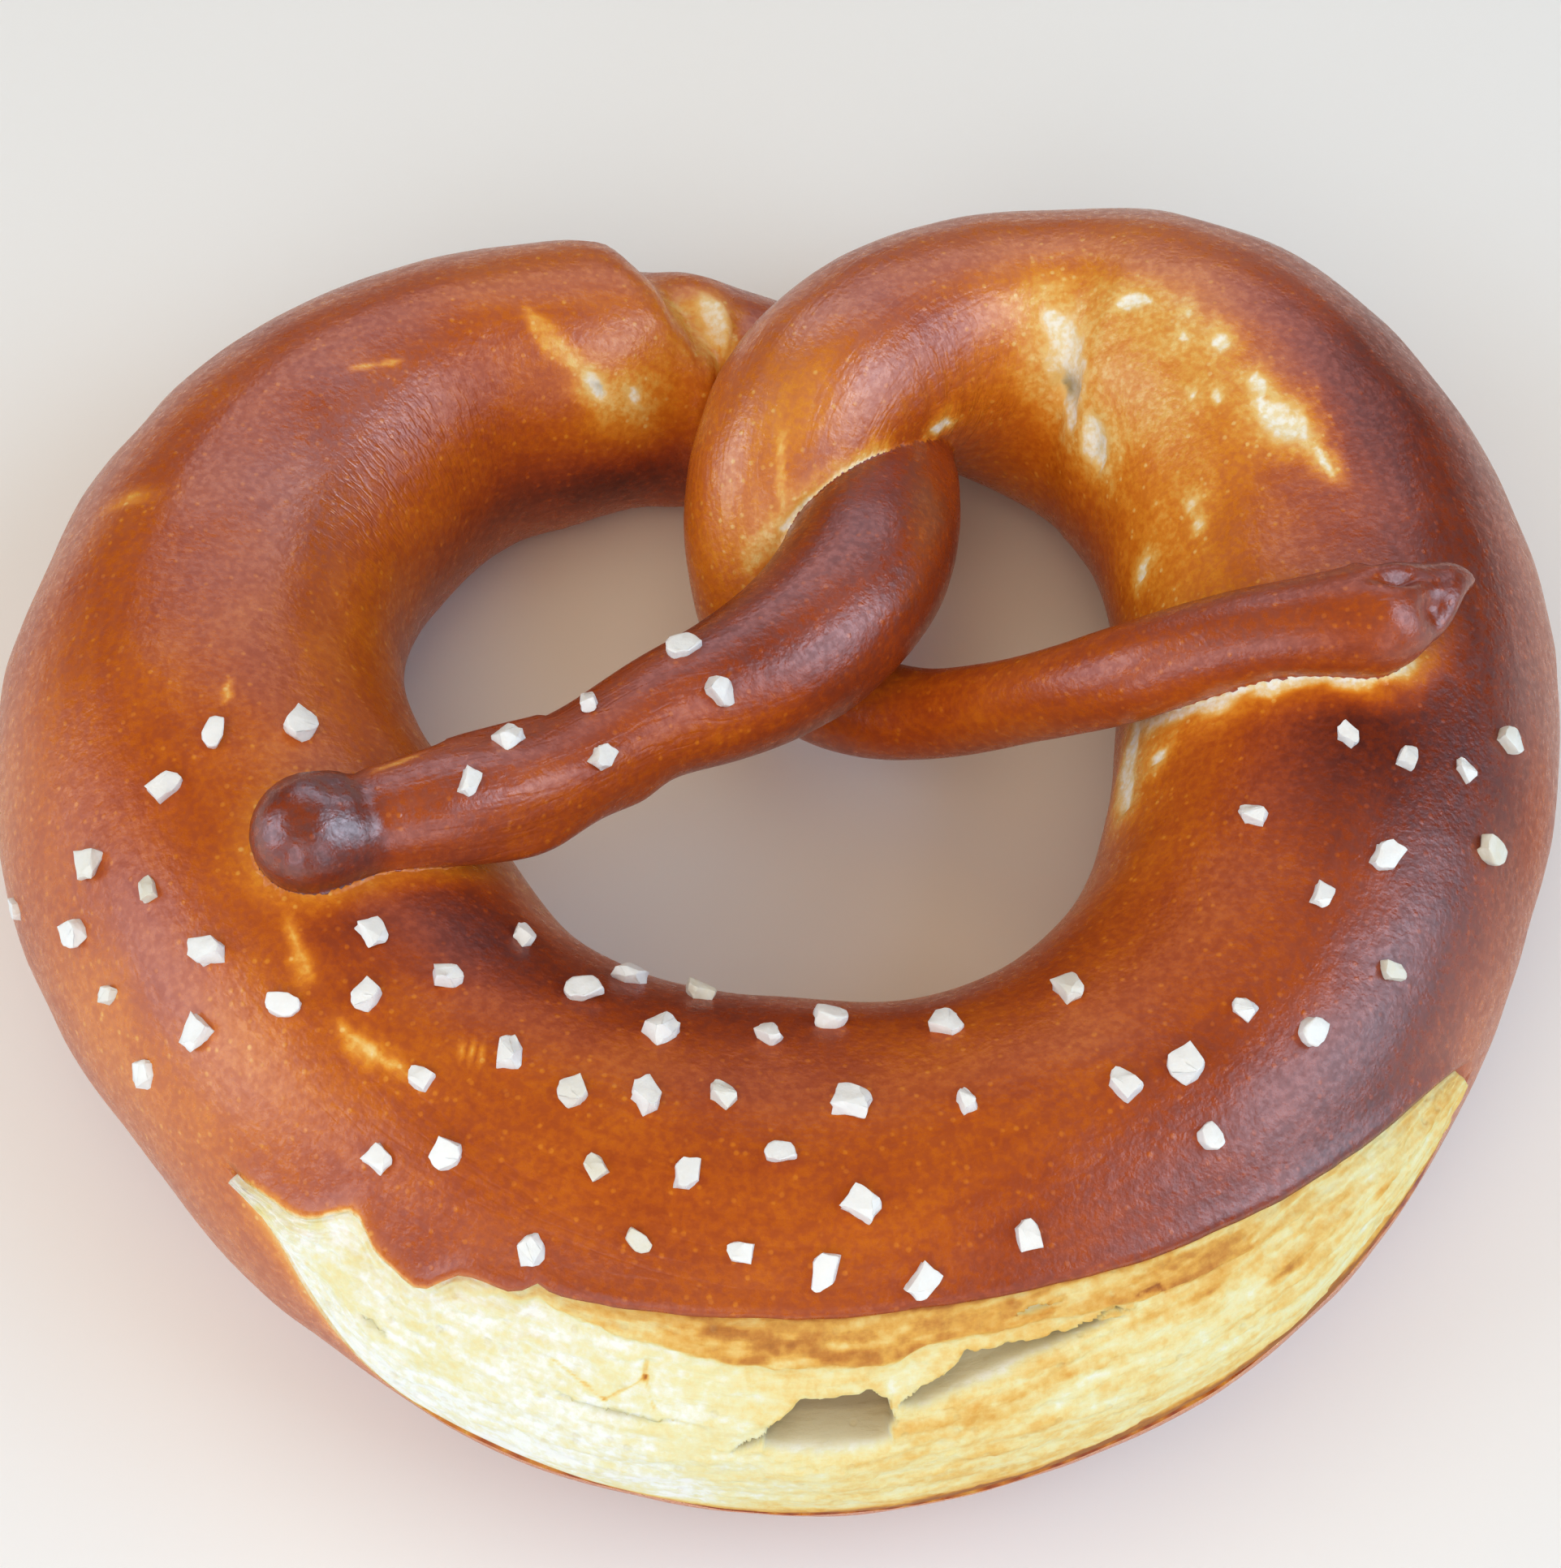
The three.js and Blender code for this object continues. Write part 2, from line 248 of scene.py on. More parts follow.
class Sections:
    """The rope's middle, its directions and half sizes at each of some stations."""

    def __init__(self, stations):
        stations = np.clip(np.asarray(stations, float), 0, LAST_STATION)
        step = 1e-4 * LAST_STATION
        before = eased(STATIONS[:, :3], np.maximum(stations - step, 0))
        after = eased(STATIONS[:, :3], np.minimum(stations + step, LAST_STATION))
        self.middle = eased(STATIONS[:, :3], stations)
        self.ahead = unit(after - before)
        self.outward = unit(np.cross(self.ahead, UP))
        self.upward = np.cross(self.outward, self.ahead)
        self.wide, self.tall = eased(STATIONS[:, 3:], stations).T
        self.tall = self.tall * mix(1, PINCH_FLAT, smooth(stations, PINCH_FROM, LAST_STATION))

    def surface(self, degrees, proud=0, scale=1):
        """Points of the rope's surface at angles round it, standing proud by some millimetres."""
        angle = np.radians(degrees)
        out = np.cos(angle) * (self.wide * scale + proud)
        up = np.sin(angle) * (self.tall * scale + proud)
        return self.middle + self.outward * out[:, None] + self.upward * up[:, None]


RULER = np.linspace(0, LAST_STATION, 4001)
RULER_MIDDLES = eased(STATIONS[:, :3], RULER)
RULER_LENGTHS = np.concatenate([[0], np.cumsum(np.linalg.norm(np.diff(RULER_MIDDLES, axis=0), axis=1))])


def length_at(stations):
    return np.interp(stations, RULER, RULER_LENGTHS)


def station_at(lengths):
    return np.interp(lengths, RULER_LENGTHS, RULER)


class Burst:
    """The burst's two edges at each of some stations, and how open it is there, from 0 to 1."""

    def __init__(self, stations):
        self.share = np.clip((stations - BURST_FROM) / (BURST_TO - BURST_FROM), 0, 1)
        line = mix(LEFT_TIP, RIGHT_TIP, self.share)
        wedge = WEDGE * smooth(self.share, 0, WEDGE_SHARE)
        arch = np.sin(np.pi * self.share**SKEW) ** RISE_FULLNESS
        rise = wedge + RISE * arch * smooth(self.share, *SPLIT_LEFT)
        from_right = np.minimum((1 - self.share) / CLOSING_RIGHT, 1)
        drop = wedge + DROP * smooth(self.share, *CLOSING_LEFT) * from_right**CLOSING_FULLNESS
        away = np.maximum(np.maximum(BURST_FROM - stations, stations - BURST_TO), 0) / RELAX
        narrowest = mix(NARROWEST, WIDEST, np.minimum(1, away))
        self.open = smooth(np.minimum(self.share, 1 - self.share), 0, OPEN)
        self.lower = line - np.maximum(narrowest, drop) + self.open * self.ragged(stations, 0.5, 9)
        self.upper = line + np.maximum(narrowest, rise) + self.open * self.tongues(stations)

    def ragged(self, stations, degrees, shift):
        places = np.column_stack([length_at(stations), np.full(len(stations), shift), stations * 0])
        return degrees * (noise(places, 4.5) + 0.6 * noise(places, 1.7, shift))

    def tongues(self, stations):
        left = smooth(self.share, 0.32, 0.1)
        strays = sum(degrees * hill(stations, at, reach) for at, reach, degrees in TONGUES)
        return strays + self.ragged(stations, 1, 2) * mix(0.45, 1.3, left) * smooth(self.share, 0.03, 0.1)

    def across(self, degrees):
        """How far across the burst angles lie: 0 at its lower edge and 1 at its upper edge."""
        return (degrees - self.lower) / (self.upper - self.lower)

    def is_above(self, degrees):
        """Whether angles lie within half a turn above its lower edge."""
        return np.mod(degrees - self.lower, 360) < 180


def deselect():
    if bpy.context.object and bpy.context.object.mode != "OBJECT":
        bpy.ops.object.mode_set(mode="OBJECT")
    bpy.ops.object.select_all(action="DESELECT")


def take(piece):
    """Makes a piece the only selected and active one."""
    deselect()
    piece.select_set(True)
    bpy.context.view_layer.objects.active = piece


def apply_modifier(piece, kind, **settings):
    take(piece)
    modifier = piece.modifiers.new(kind.lower(), kind)
    for name, value in settings.items():
        setattr(modifier, name, value)
    bpy.ops.object.modifier_apply(modifier=modifier.name)


def select_only(piece, edges=(), vertices=()):
    """In edit mode, selects the edges or vertices that are flagged, and nothing else."""
    take(piece)
    bpy.ops.object.mode_set(mode="EDIT")
    bpy.ops.mesh.select_mode(type="EDGE" if len(edges) else "VERT")
    bpy.ops.mesh.select_all(action="DESELECT")
    bpy.ops.object.mode_set(mode="OBJECT")
    if len(edges):
        piece.data.edges.foreach_set("select", np.asarray(edges, bool))
    else:
        piece.data.vertices.foreach_set("select", np.asarray(vertices, bool))
    bpy.ops.object.mode_set(mode="EDIT")


def places_of(piece):
    places = np.empty(len(piece.data.vertices) * 3)
    piece.data.vertices.foreach_get("co", places)
    return places.reshape(-1, 3)


def move_to(piece, places):
    piece.data.vertices.foreach_set("co", np.ascontiguousarray(places, float).ravel())
    piece.data.update()


def corner_points(piece):
    """For each corner of each face, the number of its vertex."""
    numbers = np.empty(len(piece.data.loops), int)
    piece.data.loops.foreach_get("vertex_index", numbers)
    return numbers


def write_mask(piece, name, values, domain="CORNER"):
    mask = piece.data.attributes.new(name, "FLOAT", domain)
    mask.data.foreach_set("value", np.asarray(values, np.float32))


# ---- Marks on the crust ----

# Where the crust tore as it stretched: the tear's line, as stations and angles, and its width.
TEARS = [
    ([(LEFT_LOOP + 3.9, 127), (LEFT_LOOP + 3.64, 138)], 1.3),
    ([(LEFT_LOOP + 3.36, 132), (LEFT_LOOP + 3.16, 144)], 0.7),
    ([(LEFT_LOOP + 2.0, 84), (LEFT_LOOP + 1.78, 86), (LEFT_LOOP + 1.6, 96), (LEFT_LOOP + 1.55, 110)], 2.3),
    ([(LEFT_LOOP + 7.52, 68), (LEFT_LOOP + 7.55, 68.5)], 0.3),
    ([(BELLY + 1.0, 77.5), (BELLY + 1.1, 78.5)], 0.5),
    ([(RIGHT_LOOP + 6.4, 120), (RIGHT_LOOP + 5.84, 137), (RIGHT_LOOP + 5.2, 149)], 3.4),
    ([(RIGHT_LOOP + 4.7, 145), (RIGHT_LOOP + 4.3, 154)], 2.8),
    ([(RIGHT_LOOP + 5.16, 108), (RIGHT_LOOP + 4.84, 104)], 1.5),
    ([(RIGHT_LOOP + 4.2, 103), (RIGHT_LOOP + 4.08, 103)], 1.4),
    ([(RIGHT_LOOP + 4.38, 109), (RIGHT_LOOP + 4.32, 109)], 0.9),
    ([(RIGHT_LOOP + 3.8, 103), (RIGHT_LOOP + 3.66, 102)], 1.2),
    ([(RIGHT_LOOP + 3.6, 105), (RIGHT_LOOP + 3.4, 101), (RIGHT_LOOP + 3.3, 98)], 2.6),
    ([(RIGHT_LOOP + 3.25, 97.5), (RIGHT_LOOP + 2.96, 94)], 0.7),
    ([(RIGHT_LOOP + 2.84, 156), (RIGHT_LOOP + 3.0, 151)], 1.0),
    ([(RIGHT_LOOP + 5.04, 129), (RIGHT_LOOP + 5.0, 129)], 0.7),
    ([(RIGHT_LOOP + 3.2, 131), (RIGHT_LOOP + 3.1, 132)], 0.8),
    ([(RIGHT_LOOP + 2.98, 131), (RIGHT_LOOP + 2.9, 133)], 0.5),
    ([(RIGHT_LOOP + 4.54, 101), (RIGHT_LOOP + 4.45, 102)], 0.5),
    ([(RIGHT_LOOP + 3.95, 118), (RIGHT_LOOP + 3.9, 119)], 0.5),
    ([(RIGHT_LOOP + 3.85, 113), (RIGHT_LOOP + 3.78, 114)], 0.6),
    ([(RIGHT_TAIL + 0.36, 160), (RIGHT_TAIL + 0.92, 127), (RIGHT_TAIL + 1.16, 106)], 1.3),
    ([(RIGHT_LOOP + 7.5, 178), (RIGHT_LOOP + 7.7, 180)], 1.2),
    ([(RIGHT_LOOP + 1.55, 158), (RIGHT_LOOP + 1.1, 160), (RIGHT_LOOP + 0.75, 156)], 2.2),
    ([(RIGHT_LOOP + 1.12, 145), (RIGHT_LOOP + 1.0, 146)], 1.1),
]
TORN_DEPTH = 0.3
# Holes in the torn crumb: station, angle and radius. The crust's material darkens them with painted shade.
TORN_HOLES = [(RIGHT_LOOP + 5.84, 142, 1.2), (LEFT_LOOP + 3.74, 133, 0.5), (RIGHT_LOOP + 4.45, 150, 0.5)]

# Where the crust stretched but held, and baked to a thin golden skin: line and width.
THIN_SKIN = [
    ([(LEFT_LOOP + 8.9, 101), (LEFT_LOOP + 9.04, 100)], 0.5),
    ([(LEFT_TAIL + 0.65, 128), (LEFT_TAIL + 1.3, 134)], 0.9),
    ([(LEFT_LOOP + 4.42, 102), (LEFT_LOOP + 4.12, 117), (LEFT_LOOP + 3.8, 131)], 2.2),
    ([(RIGHT_LOOP + 5.6, 113), (RIGHT_LOOP + 5.13, 126)], 1.2),
    ([(RIGHT_TAIL + 0.6, 97), (RIGHT_TAIL + 0.92, 104), (RIGHT_TAIL + 1.12, 108)], 0.9),
    ([(LEFT_LOOP + 6.12, 100), (LEFT_LOOP + 5.8, 107)], 0.6),
    ([(BELLY + 0.3, 86), (BELLY + 0.48, 82), (BELLY + 0.66, 79)], 1.2),
    (
        [(BELLY + 0.84, 79), (BELLY + 1.0, 77.5), (BELLY + 1.12, 79), (BELLY + 1.26, 80), (BELLY + 1.52, 81)],
        1.1,
    ),
    ([(BELLY + 1.36, 91), (BELLY + 1.52, 92.5)], 0.6),
    ([(RIGHT_TAIL + 1.1, 104), (RIGHT_TAIL + 1.3, 90), (RIGHT_TAIL + 1.45, 78)], 2.2),
]

# Where the crust is lighter or darker than elsewhere: station, angle, half length along the rope, half width
# round it, and by how much it is darker. The crust's shade runs from 0, pale gold, to 1, near black. Most
# patches are the baked colour; two, low on the left loop's inner side by the hole, are painted shade.
SHADE = 0.48
TONE_AND_SHADOW_PATCHES = [
    (LEFT_LOOP + 7.4, 101, 20, 11, 0.08),
    (LEFT_LOOP + 6, 115, 14, 9, 0.08),
    (LEFT_LOOP + 4.3, 80, 9, 8, -0.07),
    # Painted shade, low on the left loop's inner side by the hole, where little light reaches.
    (LEFT_LOOP + 4.2, 178, 22, 6, 0.3),
    (LEFT_LOOP + 3.1, 150, 7, 6, -0.12),
    # Painted shade again, further along the same inner side by the hole.
    (LEFT_LOOP + 2.8, 182, 9, 6, 0.25),
    (LEFT_LOOP + 3.1, 145, 8, 9, -0.24),
    (LEFT_LOOP + 2.3, 95, 5, 8, -0.24),
    (LEFT_LOOP + 9.6, 68, 9, 8, 0.08),
    (BELLY + 0.3, 27, 14, 7, -0.16),
    (BELLY + 0.7, 55, 10, 7, -0.12),
    (BELLY + 0.35, 92, 8, 6, 0.1),
    (RIGHT_TAIL + 0.3, 105, 10, 6, -0.12),
    (BELLY + 0.9, 118, 12, 7, 0.24),
    (BELLY + 1.9, 134, 18, 7, 0.24),
    (BELLY + 4.4, 136, 22, 6, 0.12),
    (BELLY + 4.9, 60, 12, 9, 0.14),
    (BELLY + 5.6, 50, 14, 9, 0.3),
    (BELLY + 5, 84, 10, 8, 0.12),
    (RIGHT_LOOP + 0.4, 62, 16, 12, 0.2),
    (RIGHT_LOOP + 1.2, 93, 10, 9, 0.3),
    (RIGHT_LOOP + 1.5, 55, 18, 13, 0.3),
    (RIGHT_LOOP + 3.3, 66, 26, 12, 0.42),
    (RIGHT_LOOP + 1.3, 156, 9, 6, -0.34),
    (RIGHT_LOOP + 1.75, 138, 9, 5, -0.2),
    (RIGHT_LOOP + 2.9, 140, 13, 11, -0.24),
    (RIGHT_LOOP + 4, 116, 11, 8, -0.16),
    (RIGHT_LOOP + 5.4, 130, 15, 13, -0.3),
    (RIGHT_LOOP + 5.4, 114, 11, 5, -0.12),
    (RIGHT_LOOP + 4.4, 110, 9, 4, -0.12),
    (LEFT_TAIL + 3.2, 55, 14, 5, -0.06),
    (BELLY + 4.2, 62, 12, 7, 0.08),
    (BELLY + 1.4, 130, 14, 7, 0.1),
    (BELLY + 0.59, 86, 8, 6, 0.1),
    (LEFT_TAIL + 4.6, 30, 9, 3, -0.16),
    (RIGHT_TAIL + 0.36, 82, 9, 7, -0.08),
    (RIGHT_TAIL + 5, 40, 9, 8, -0.08),
    (RIGHT_TAIL + 7.4, 50, 6, 5, 0.06),
    (RIGHT_LOOP + 7.6, 128, 8, 7, 0.16),
    (RIGHT_TAIL + 1, 62, 10, 6, -0.16),
    (RIGHT_TAIL + 1.4, 85, 7, 7, -0.16),
]
# The thin ends baked darker: station, and how much darker the rope is there.
END_SHADES = [
    (0, 0.38),
    (0.5, 0.38),
    (0.8, 0.14),
    (LEFT_TAIL + 3.5, 0.18),
    (LEFT_TAIL + 5, 0.28),
    (LEFT_TAIL + 7.5, 0.26),
    (LEFT_LOOP, 0),
    (RIGHT_TAIL + 2, 0),
    (RIGHT_TAIL + 3.4, 0.14),
    (RIGHT_TAIL + 5, 0.02),
    (RIGHT_TAIL + 7, 0.08),
    (RIGHT_TAIL + 8.8, 0.14),
    (RIGHT_TAIL + 9.5, 0.26),
    (LAST_STATION, 0.26),
]

# Where the crust came out duller, or shinier, than elsewhere: station, angle, half length, half width, and by
# how much duller.
DULL_PATCHES = [
    (LEFT_LOOP + 6.4, 115, 14, 5, -0.8),
    (LEFT_LOOP + 5.2, 118, 7, 6, 0.6),
    (LEFT_LOOP + 7.4, 129, 8, 5, -1.3),
    (LEFT_LOOP + 4.6, 70, 20, 8, 0.4),
    (LEFT_LOOP + 9.3, 70, 12, 11, 0.5),
    (RIGHT_TAIL + 0.25, 76, 9, 6, -1),
    (RIGHT_LOOP + 2.7, 129, 7, 5, -1.2),
    (RIGHT_LOOP + 3.5, 62, 24, 9, 0.6),
    (RIGHT_LOOP + 1.1, 112, 16, 10, 0.5),
    (BELLY + 5.6, 102, 16, 13, 0.6),
    (LEFT_TAIL, 100, 5, 5, -1),
    (LEFT_TAIL + 1.6, 105, 8, 3, -0.3),
    (LEFT_TAIL + 4.4, 112, 14, 3.5, -0.4),
    (LEFT_TAIL + 3.5, 60, 16, 5, 0.5),
    (LEFT_LOOP + 3, 170, 16, 14, 0.8),
    (LEFT_LOOP + 6, 168, 18, 13, 0.9),
    (LEFT_LOOP + 8.5, 160, 18, 14, 0.9),
    (LEFT_LOOP + 9.3, 100, 14, 12, 0.6),
    (BELLY + 0.6, 95, 18, 13, 0.7),
    (BELLY + 2, 110, 22, 16, 0.8),
    (BELLY + 2.4, 75, 22, 9, 0.7),
    (BELLY + 3.8, 110, 22, 16, 0.8),
    (BELLY + 3.8, 72, 16, 10, 0.6),
    (BELLY + 5.4, 125, 16, 12, 0.7),
    (RIGHT_LOOP + 1, 120, 14, 12, 0.6),
    (RIGHT_LOOP + 1.2, 85, 9, 10, 0.8),
    (RIGHT_LOOP + 2.9, 160, 16, 16, 1),
    (RIGHT_LOOP + 5.4, 170, 16, 14, 1),
    (RIGHT_TAIL + 1.6, 60, 8, 7, 0.5),
    (RIGHT_TAIL + 4.5, 60, 16, 9, 0.8),
    (RIGHT_LOOP + 1.2, 25, 14, 10, 0.8),
    (RIGHT_TAIL + 8.6, 50, 5, 6, 0.7),
    (LEFT_TAIL + 4.5, 20, 20, 5, 0.7),
]

MARK_STATIONS = 3.5  # how far along the rope a mark may reach
LINE_STEPS = 24  # points at which a mark's line is measured


class Marks:
    """Masks for places on the rope, each given by its station, its angle and its point in millimetres."""

    def __init__(self, stations, angles, points):
        self.stations, self.angles, self.points = stations, angles, points

    def near(self, station, point, reach):
        """The numbers of the places within reach of a point, on the same stretch of the rope."""
        same_stretch = np.abs(self.stations - station) < MARK_STATIONS
        return np.nonzero(same_stretch & (np.linalg.norm(self.points - point, axis=1) < reach))[0]

    def along_line(self, line, width, fade):
        """A mask that is 1 on a line, a half at its edge, 0 at its width; and one that fades round it."""
        knots = np.linspace(0, 1, len(line))
        shares = np.linspace(0, 1, LINE_STEPS)
        stations = np.interp(shares, knots, [station for station, _ in line])
        angles = np.interp(shares, knots, [angle for _, angle in line])
        route = Sections(stations).surface(angles)
        middle = route.mean(axis=0)
        reach = np.linalg.norm(route - middle, axis=1).max() + width + fade
        found = self.near(stations.mean(), middle, reach)
        gaps = np.linalg.norm(self.points[found, None] - route, axis=2)
        gap = gaps.min(axis=1) * (1 + 0.3 * noise(self.points[found], 1.1, 6))
        half = width / 2 * mix(0.45, 1, np.sin(np.pi * shares) ** 0.7)[gaps.argmin(axis=1)]
        core = np.zeros(len(self.points))
        core[found] = np.clip(1 - gap / (2 * half), 0, 1)
        glow = np.zeros(len(self.points))
        glow[found] = smooth(gap - half, fade, 0)
        return core, glow

    def patch(self, station, angle, length, breadth):
        """A mask that is 1 at a place and fades out over a length along the rope and a breadth round it."""
        section = Sections([station])
        point = section.surface(np.array([angle]))[0]
        ahead = section.ahead[0]
        outward = unit(point - section.middle[0])
        found = self.near(station, point, 2 * max(length, breadth))
        offset = self.points[found] - point
        x = offset @ ahead / length
        y = offset @ np.cross(outward, ahead) / breadth
        mask = np.zeros(len(self.points))
        mask[found] = np.exp(-(x * x + y * y) * 1.2)
        return mask


FAR = 100.0  # millimetres, for points whose gap to a strand isn't measured
GAP_STEP = 0.03  # stations between the places on the strand from which it is measured


def strand_gap(points, chosen, start, end):
    """How far the chosen points are from the rope's surface between two stations. The others count as far."""
    gap = np.full(len(points), FAR)
    gaps = gap[chosen]
    for station in np.arange(start, end, GAP_STEP):
        section = Sections([station])
        radius = min(section.wide[0], section.tall[0])
        away = np.linalg.norm(points[chosen] - section.middle[0], axis=1) - radius
        gaps = np.minimum(gaps, away)
    gap[chosen] = gaps
    return gap


# ---- Crust ----

ROPE_COLUMNS = 120
BED_COLUMNS = 10  # of them, under the crumb
EDGE_CROWDING = 0.5  # how much closer than elsewhere the columns stand beside the burst
BED_WALL = 0.012  # share of the burst's width over which the bed goes down at each edge
RING_SPACING, TAIL_SPACING = 0.85, 0.7  # between the rings of points, on the ring of dough and on its tails
DOME_RINGS = 8
BELLY_JOINT, TAIL_JOINT = BELLY + 3, RIGHT_TAIL - 2
# The lengths that the rope is modelled in: first and last station, the spacing of their rings, and how many
# rings cap each end. None of them touches itself. An end that meets another length has no cap, or one ring
# that plugs into that length, and a free end has a dome.
ROPE_LENGTHS = [
    (LEFT_LOOP, BELLY_JOINT, RING_SPACING, 0, 0),
    (BELLY_JOINT, TAIL_JOINT, RING_SPACING, 1, 0),
    (0, LEFT_LOOP, TAIL_SPACING, DOME_RINGS, 1),
    (TAIL_JOINT, LAST_STATION, TAIL_SPACING, 1, DOME_RINGS),
]
PLUG_REACH, PLUG_TAPER = 1, 0.2


def add_tube(rings):
    """A closed tube of unit radius standing on the bench, from z = 0 to z = 1."""
    deselect()
    bpy.ops.mesh.primitive_cylinder_add(
        vertices=ROPE_COLUMNS, radius=1, depth=1, location=(0, 0, 0.5), end_fill_type="TRIFAN"
    )
    tube = bpy.context.object
    bpy.ops.object.transform_apply(location=True)
    heights = places_of(tube)[:, 2]
    ends = np.array([edge.vertices[:] for edge in tube.data.edges])
    standing = np.abs(heights[ends[:, 0]] - heights[ends[:, 1]]) > 0.5
    select_only(tube, edges=standing)
    bpy.ops.mesh.subdivide_edgering(number_cuts=rings - 1, interpolation="LINEAR")
    bpy.ops.object.mode_set(mode="OBJECT")
    return tube


def column_angles(columns, stations):
    """The angles of bench columns, given as shares of a turn from the burst's lower edge, and how far each
    lies into the crumb's bed, from 0 on the crust to 1."""
    burst = Burst(stations)
    bed_share = BED_COLUMNS / ROPE_COLUMNS
    across = np.clip(columns / bed_share, 0, 1)
    column = 1 / BED_COLUMNS
    across_bed = mix(BED_WALL, 1 - BED_WALL, np.clip((across - column) / (1 - 2 * column), 0, 1))
    across = np.where(across < column / 2, 0, np.where(across > 1 - column / 2, 1, across_bed))
    share = np.clip((columns - bed_share) / (1 - bed_share), 0, 1)
    share = share - EDGE_CROWDING * np.sin(2 * np.pi * share) / (2 * np.pi)
    crust = mix(burst.upper, burst.lower + 360, share)
    in_bed = columns <= bed_share + 1e-6
    angles = np.where(in_bed, mix(burst.lower, burst.upper, across), crust)
    sunk = np.where(in_bed & (across > 0) & (across < 1), burst.open, 0)
    return angles, sunk, burst


def edge_distance(angles, burst, wide):
    """How far the crust lies outside the burst's nearest edge, round the rope, in millimetres."""
    turn = np.mod(angles - burst.lower, 360)
    past_upper = turn - (burst.upper - burst.lower)
    return np.radians(np.minimum(np.maximum(past_upper, 0), 360 - turn)) * wide


def crust_relief(stations, angles, points, section, burst):
    """How far the crust stands proud of the smooth rope, in millimetres."""
    marks = Marks(stations, angles, points)
    relief = 0.3 * noise(points, 13) + 0.1 * noise(points, 5, 3)
    gap = edge_distance(angles, burst, section.wide)
    lip = LIP * np.exp(-((gap / LIP_REACH) ** 2)) - 0.3 * smooth(gap, 0.35, 0)
    relief += burst.open * np.where(burst.is_above(angles), lip, -UNDERCUT * smooth(gap, 14, 0))
    for line, width in TEARS:
        core, glow = marks.along_line(line, width, 1.6)
        relief += 0.1 * glow - TORN_DEPTH * (0.6 + 0.4 * width) * smooth(core, 0.3, 0.8)
    for station, angle, radius in TORN_HOLES:
        relief -= radius * marks.patch(station, angle, radius, radius)
    relief += shoulder(stations, angles) + folds(stations, angles, marks) + ends(stations, angles, marks)
    return relief


def shoulder(stations, angles):
    """The thick left loop ends at a slanting ridge, past which the rope dips and swells again."""
    ridge = LEFT_LOOP + np.interp(angles, [40, 72, 104, 118, 150], [3.15, 3.0, 2.45, 2.1, 2.1])
    on_top = smooth(angles, 20, 55) * smooth(angles, 128, 96)
    past = ridge - stations
    swell = 0.7 * hill(past, -0.35, 0.55)
    dip = -1.9 * hill(past, 0.55, 0.42)
    second = 0.6 * hill(past, 1.35, 0.45)
    flank = 2.2 * hill(stations, LEFT_LOOP + 1.7, 0.75) * smooth(angles, 105, 140) * smooth(angles, 235, 200)
    return on_top * (swell + dip + second) + flank


def folds(stations, angles, marks):
    """Dough pushed together on the inner side of the tight bend."""
    bend = smooth(stations, RIGHT_LOOP + 6.3, RIGHT_LOOP + 7.1)
    bend = bend * smooth(stations, RIGHT_TAIL + 0.6, RIGHT_TAIL)
    inner = hill(np.mod(angles, 360), 182, 30)
    waves = np.sin(2 * np.pi * length_at(stations) / 2.6 + 1.5 * noise(marks.points, 6, 1))
    return 0.3 * bend * inner * waves


# Small swells and hollows of the two ends: station, angle, half length, half width and height. First a facet
# on the left end's knob, then the rolled edge behind it, then the pinched fold at the right end.
END_FORMS = [
    (LEFT_TAIL + 0.3, 110, 1.6, 1.6, -0.4),
    (LEFT_TAIL + 2.3, -22, 6, 1.8, 0.8),
    (LEFT_TAIL + 2.2, 8, 7, 0.8, -0.6),
    (LEFT_TAIL + 3.5, -25, 3, 2, 0.5),
    (LEFT_TAIL + 2.6, 35, 9, 0.7, -0.35),
    (LEFT_TAIL + 2.2, 60, 9, 1, 0.3),
    (RIGHT_TAIL + 9.35, 108, 2.0, 1.1, -2.0),
    (RIGHT_TAIL + 9.7, 60, 1.6, 1.5, -1.2),
    (RIGHT_TAIL + 9.05, 75, 0.7, 2.6, 0.5),
    (RIGHT_TAIL + 9.6, 15, 2.4, 0.7, 0.5),
    (RIGHT_TAIL + 9.2, 150, 0.8, 1.2, -1.3),
    (RIGHT_TAIL + 8.9, 150, 0.8, 1.0, 0.7),
]


def ends(stations, angles, marks):
    """The knob at the left end with the groove behind it, and the small forms of both ends."""
    round_top = smooth(np.sin(np.radians(angles)), -0.6, 0.1)
    neck = mix(0.3, 1, hill(angles, 110, 60))
    groove = 0.8 * hill(stations, 0.62, 0.13) + 0.3 * hill(stations, 0.85, 0.3)
    relief = 0.2 * hill(stations, 0.05, 0.35) - round_top * neck * groove + 0.3 * hill(stations, 1.7, 0.5)
    for station, angle, length, breadth, height in END_FORMS:
        relief += height * marks.patch(station, angle, length, breadth)
    return relief


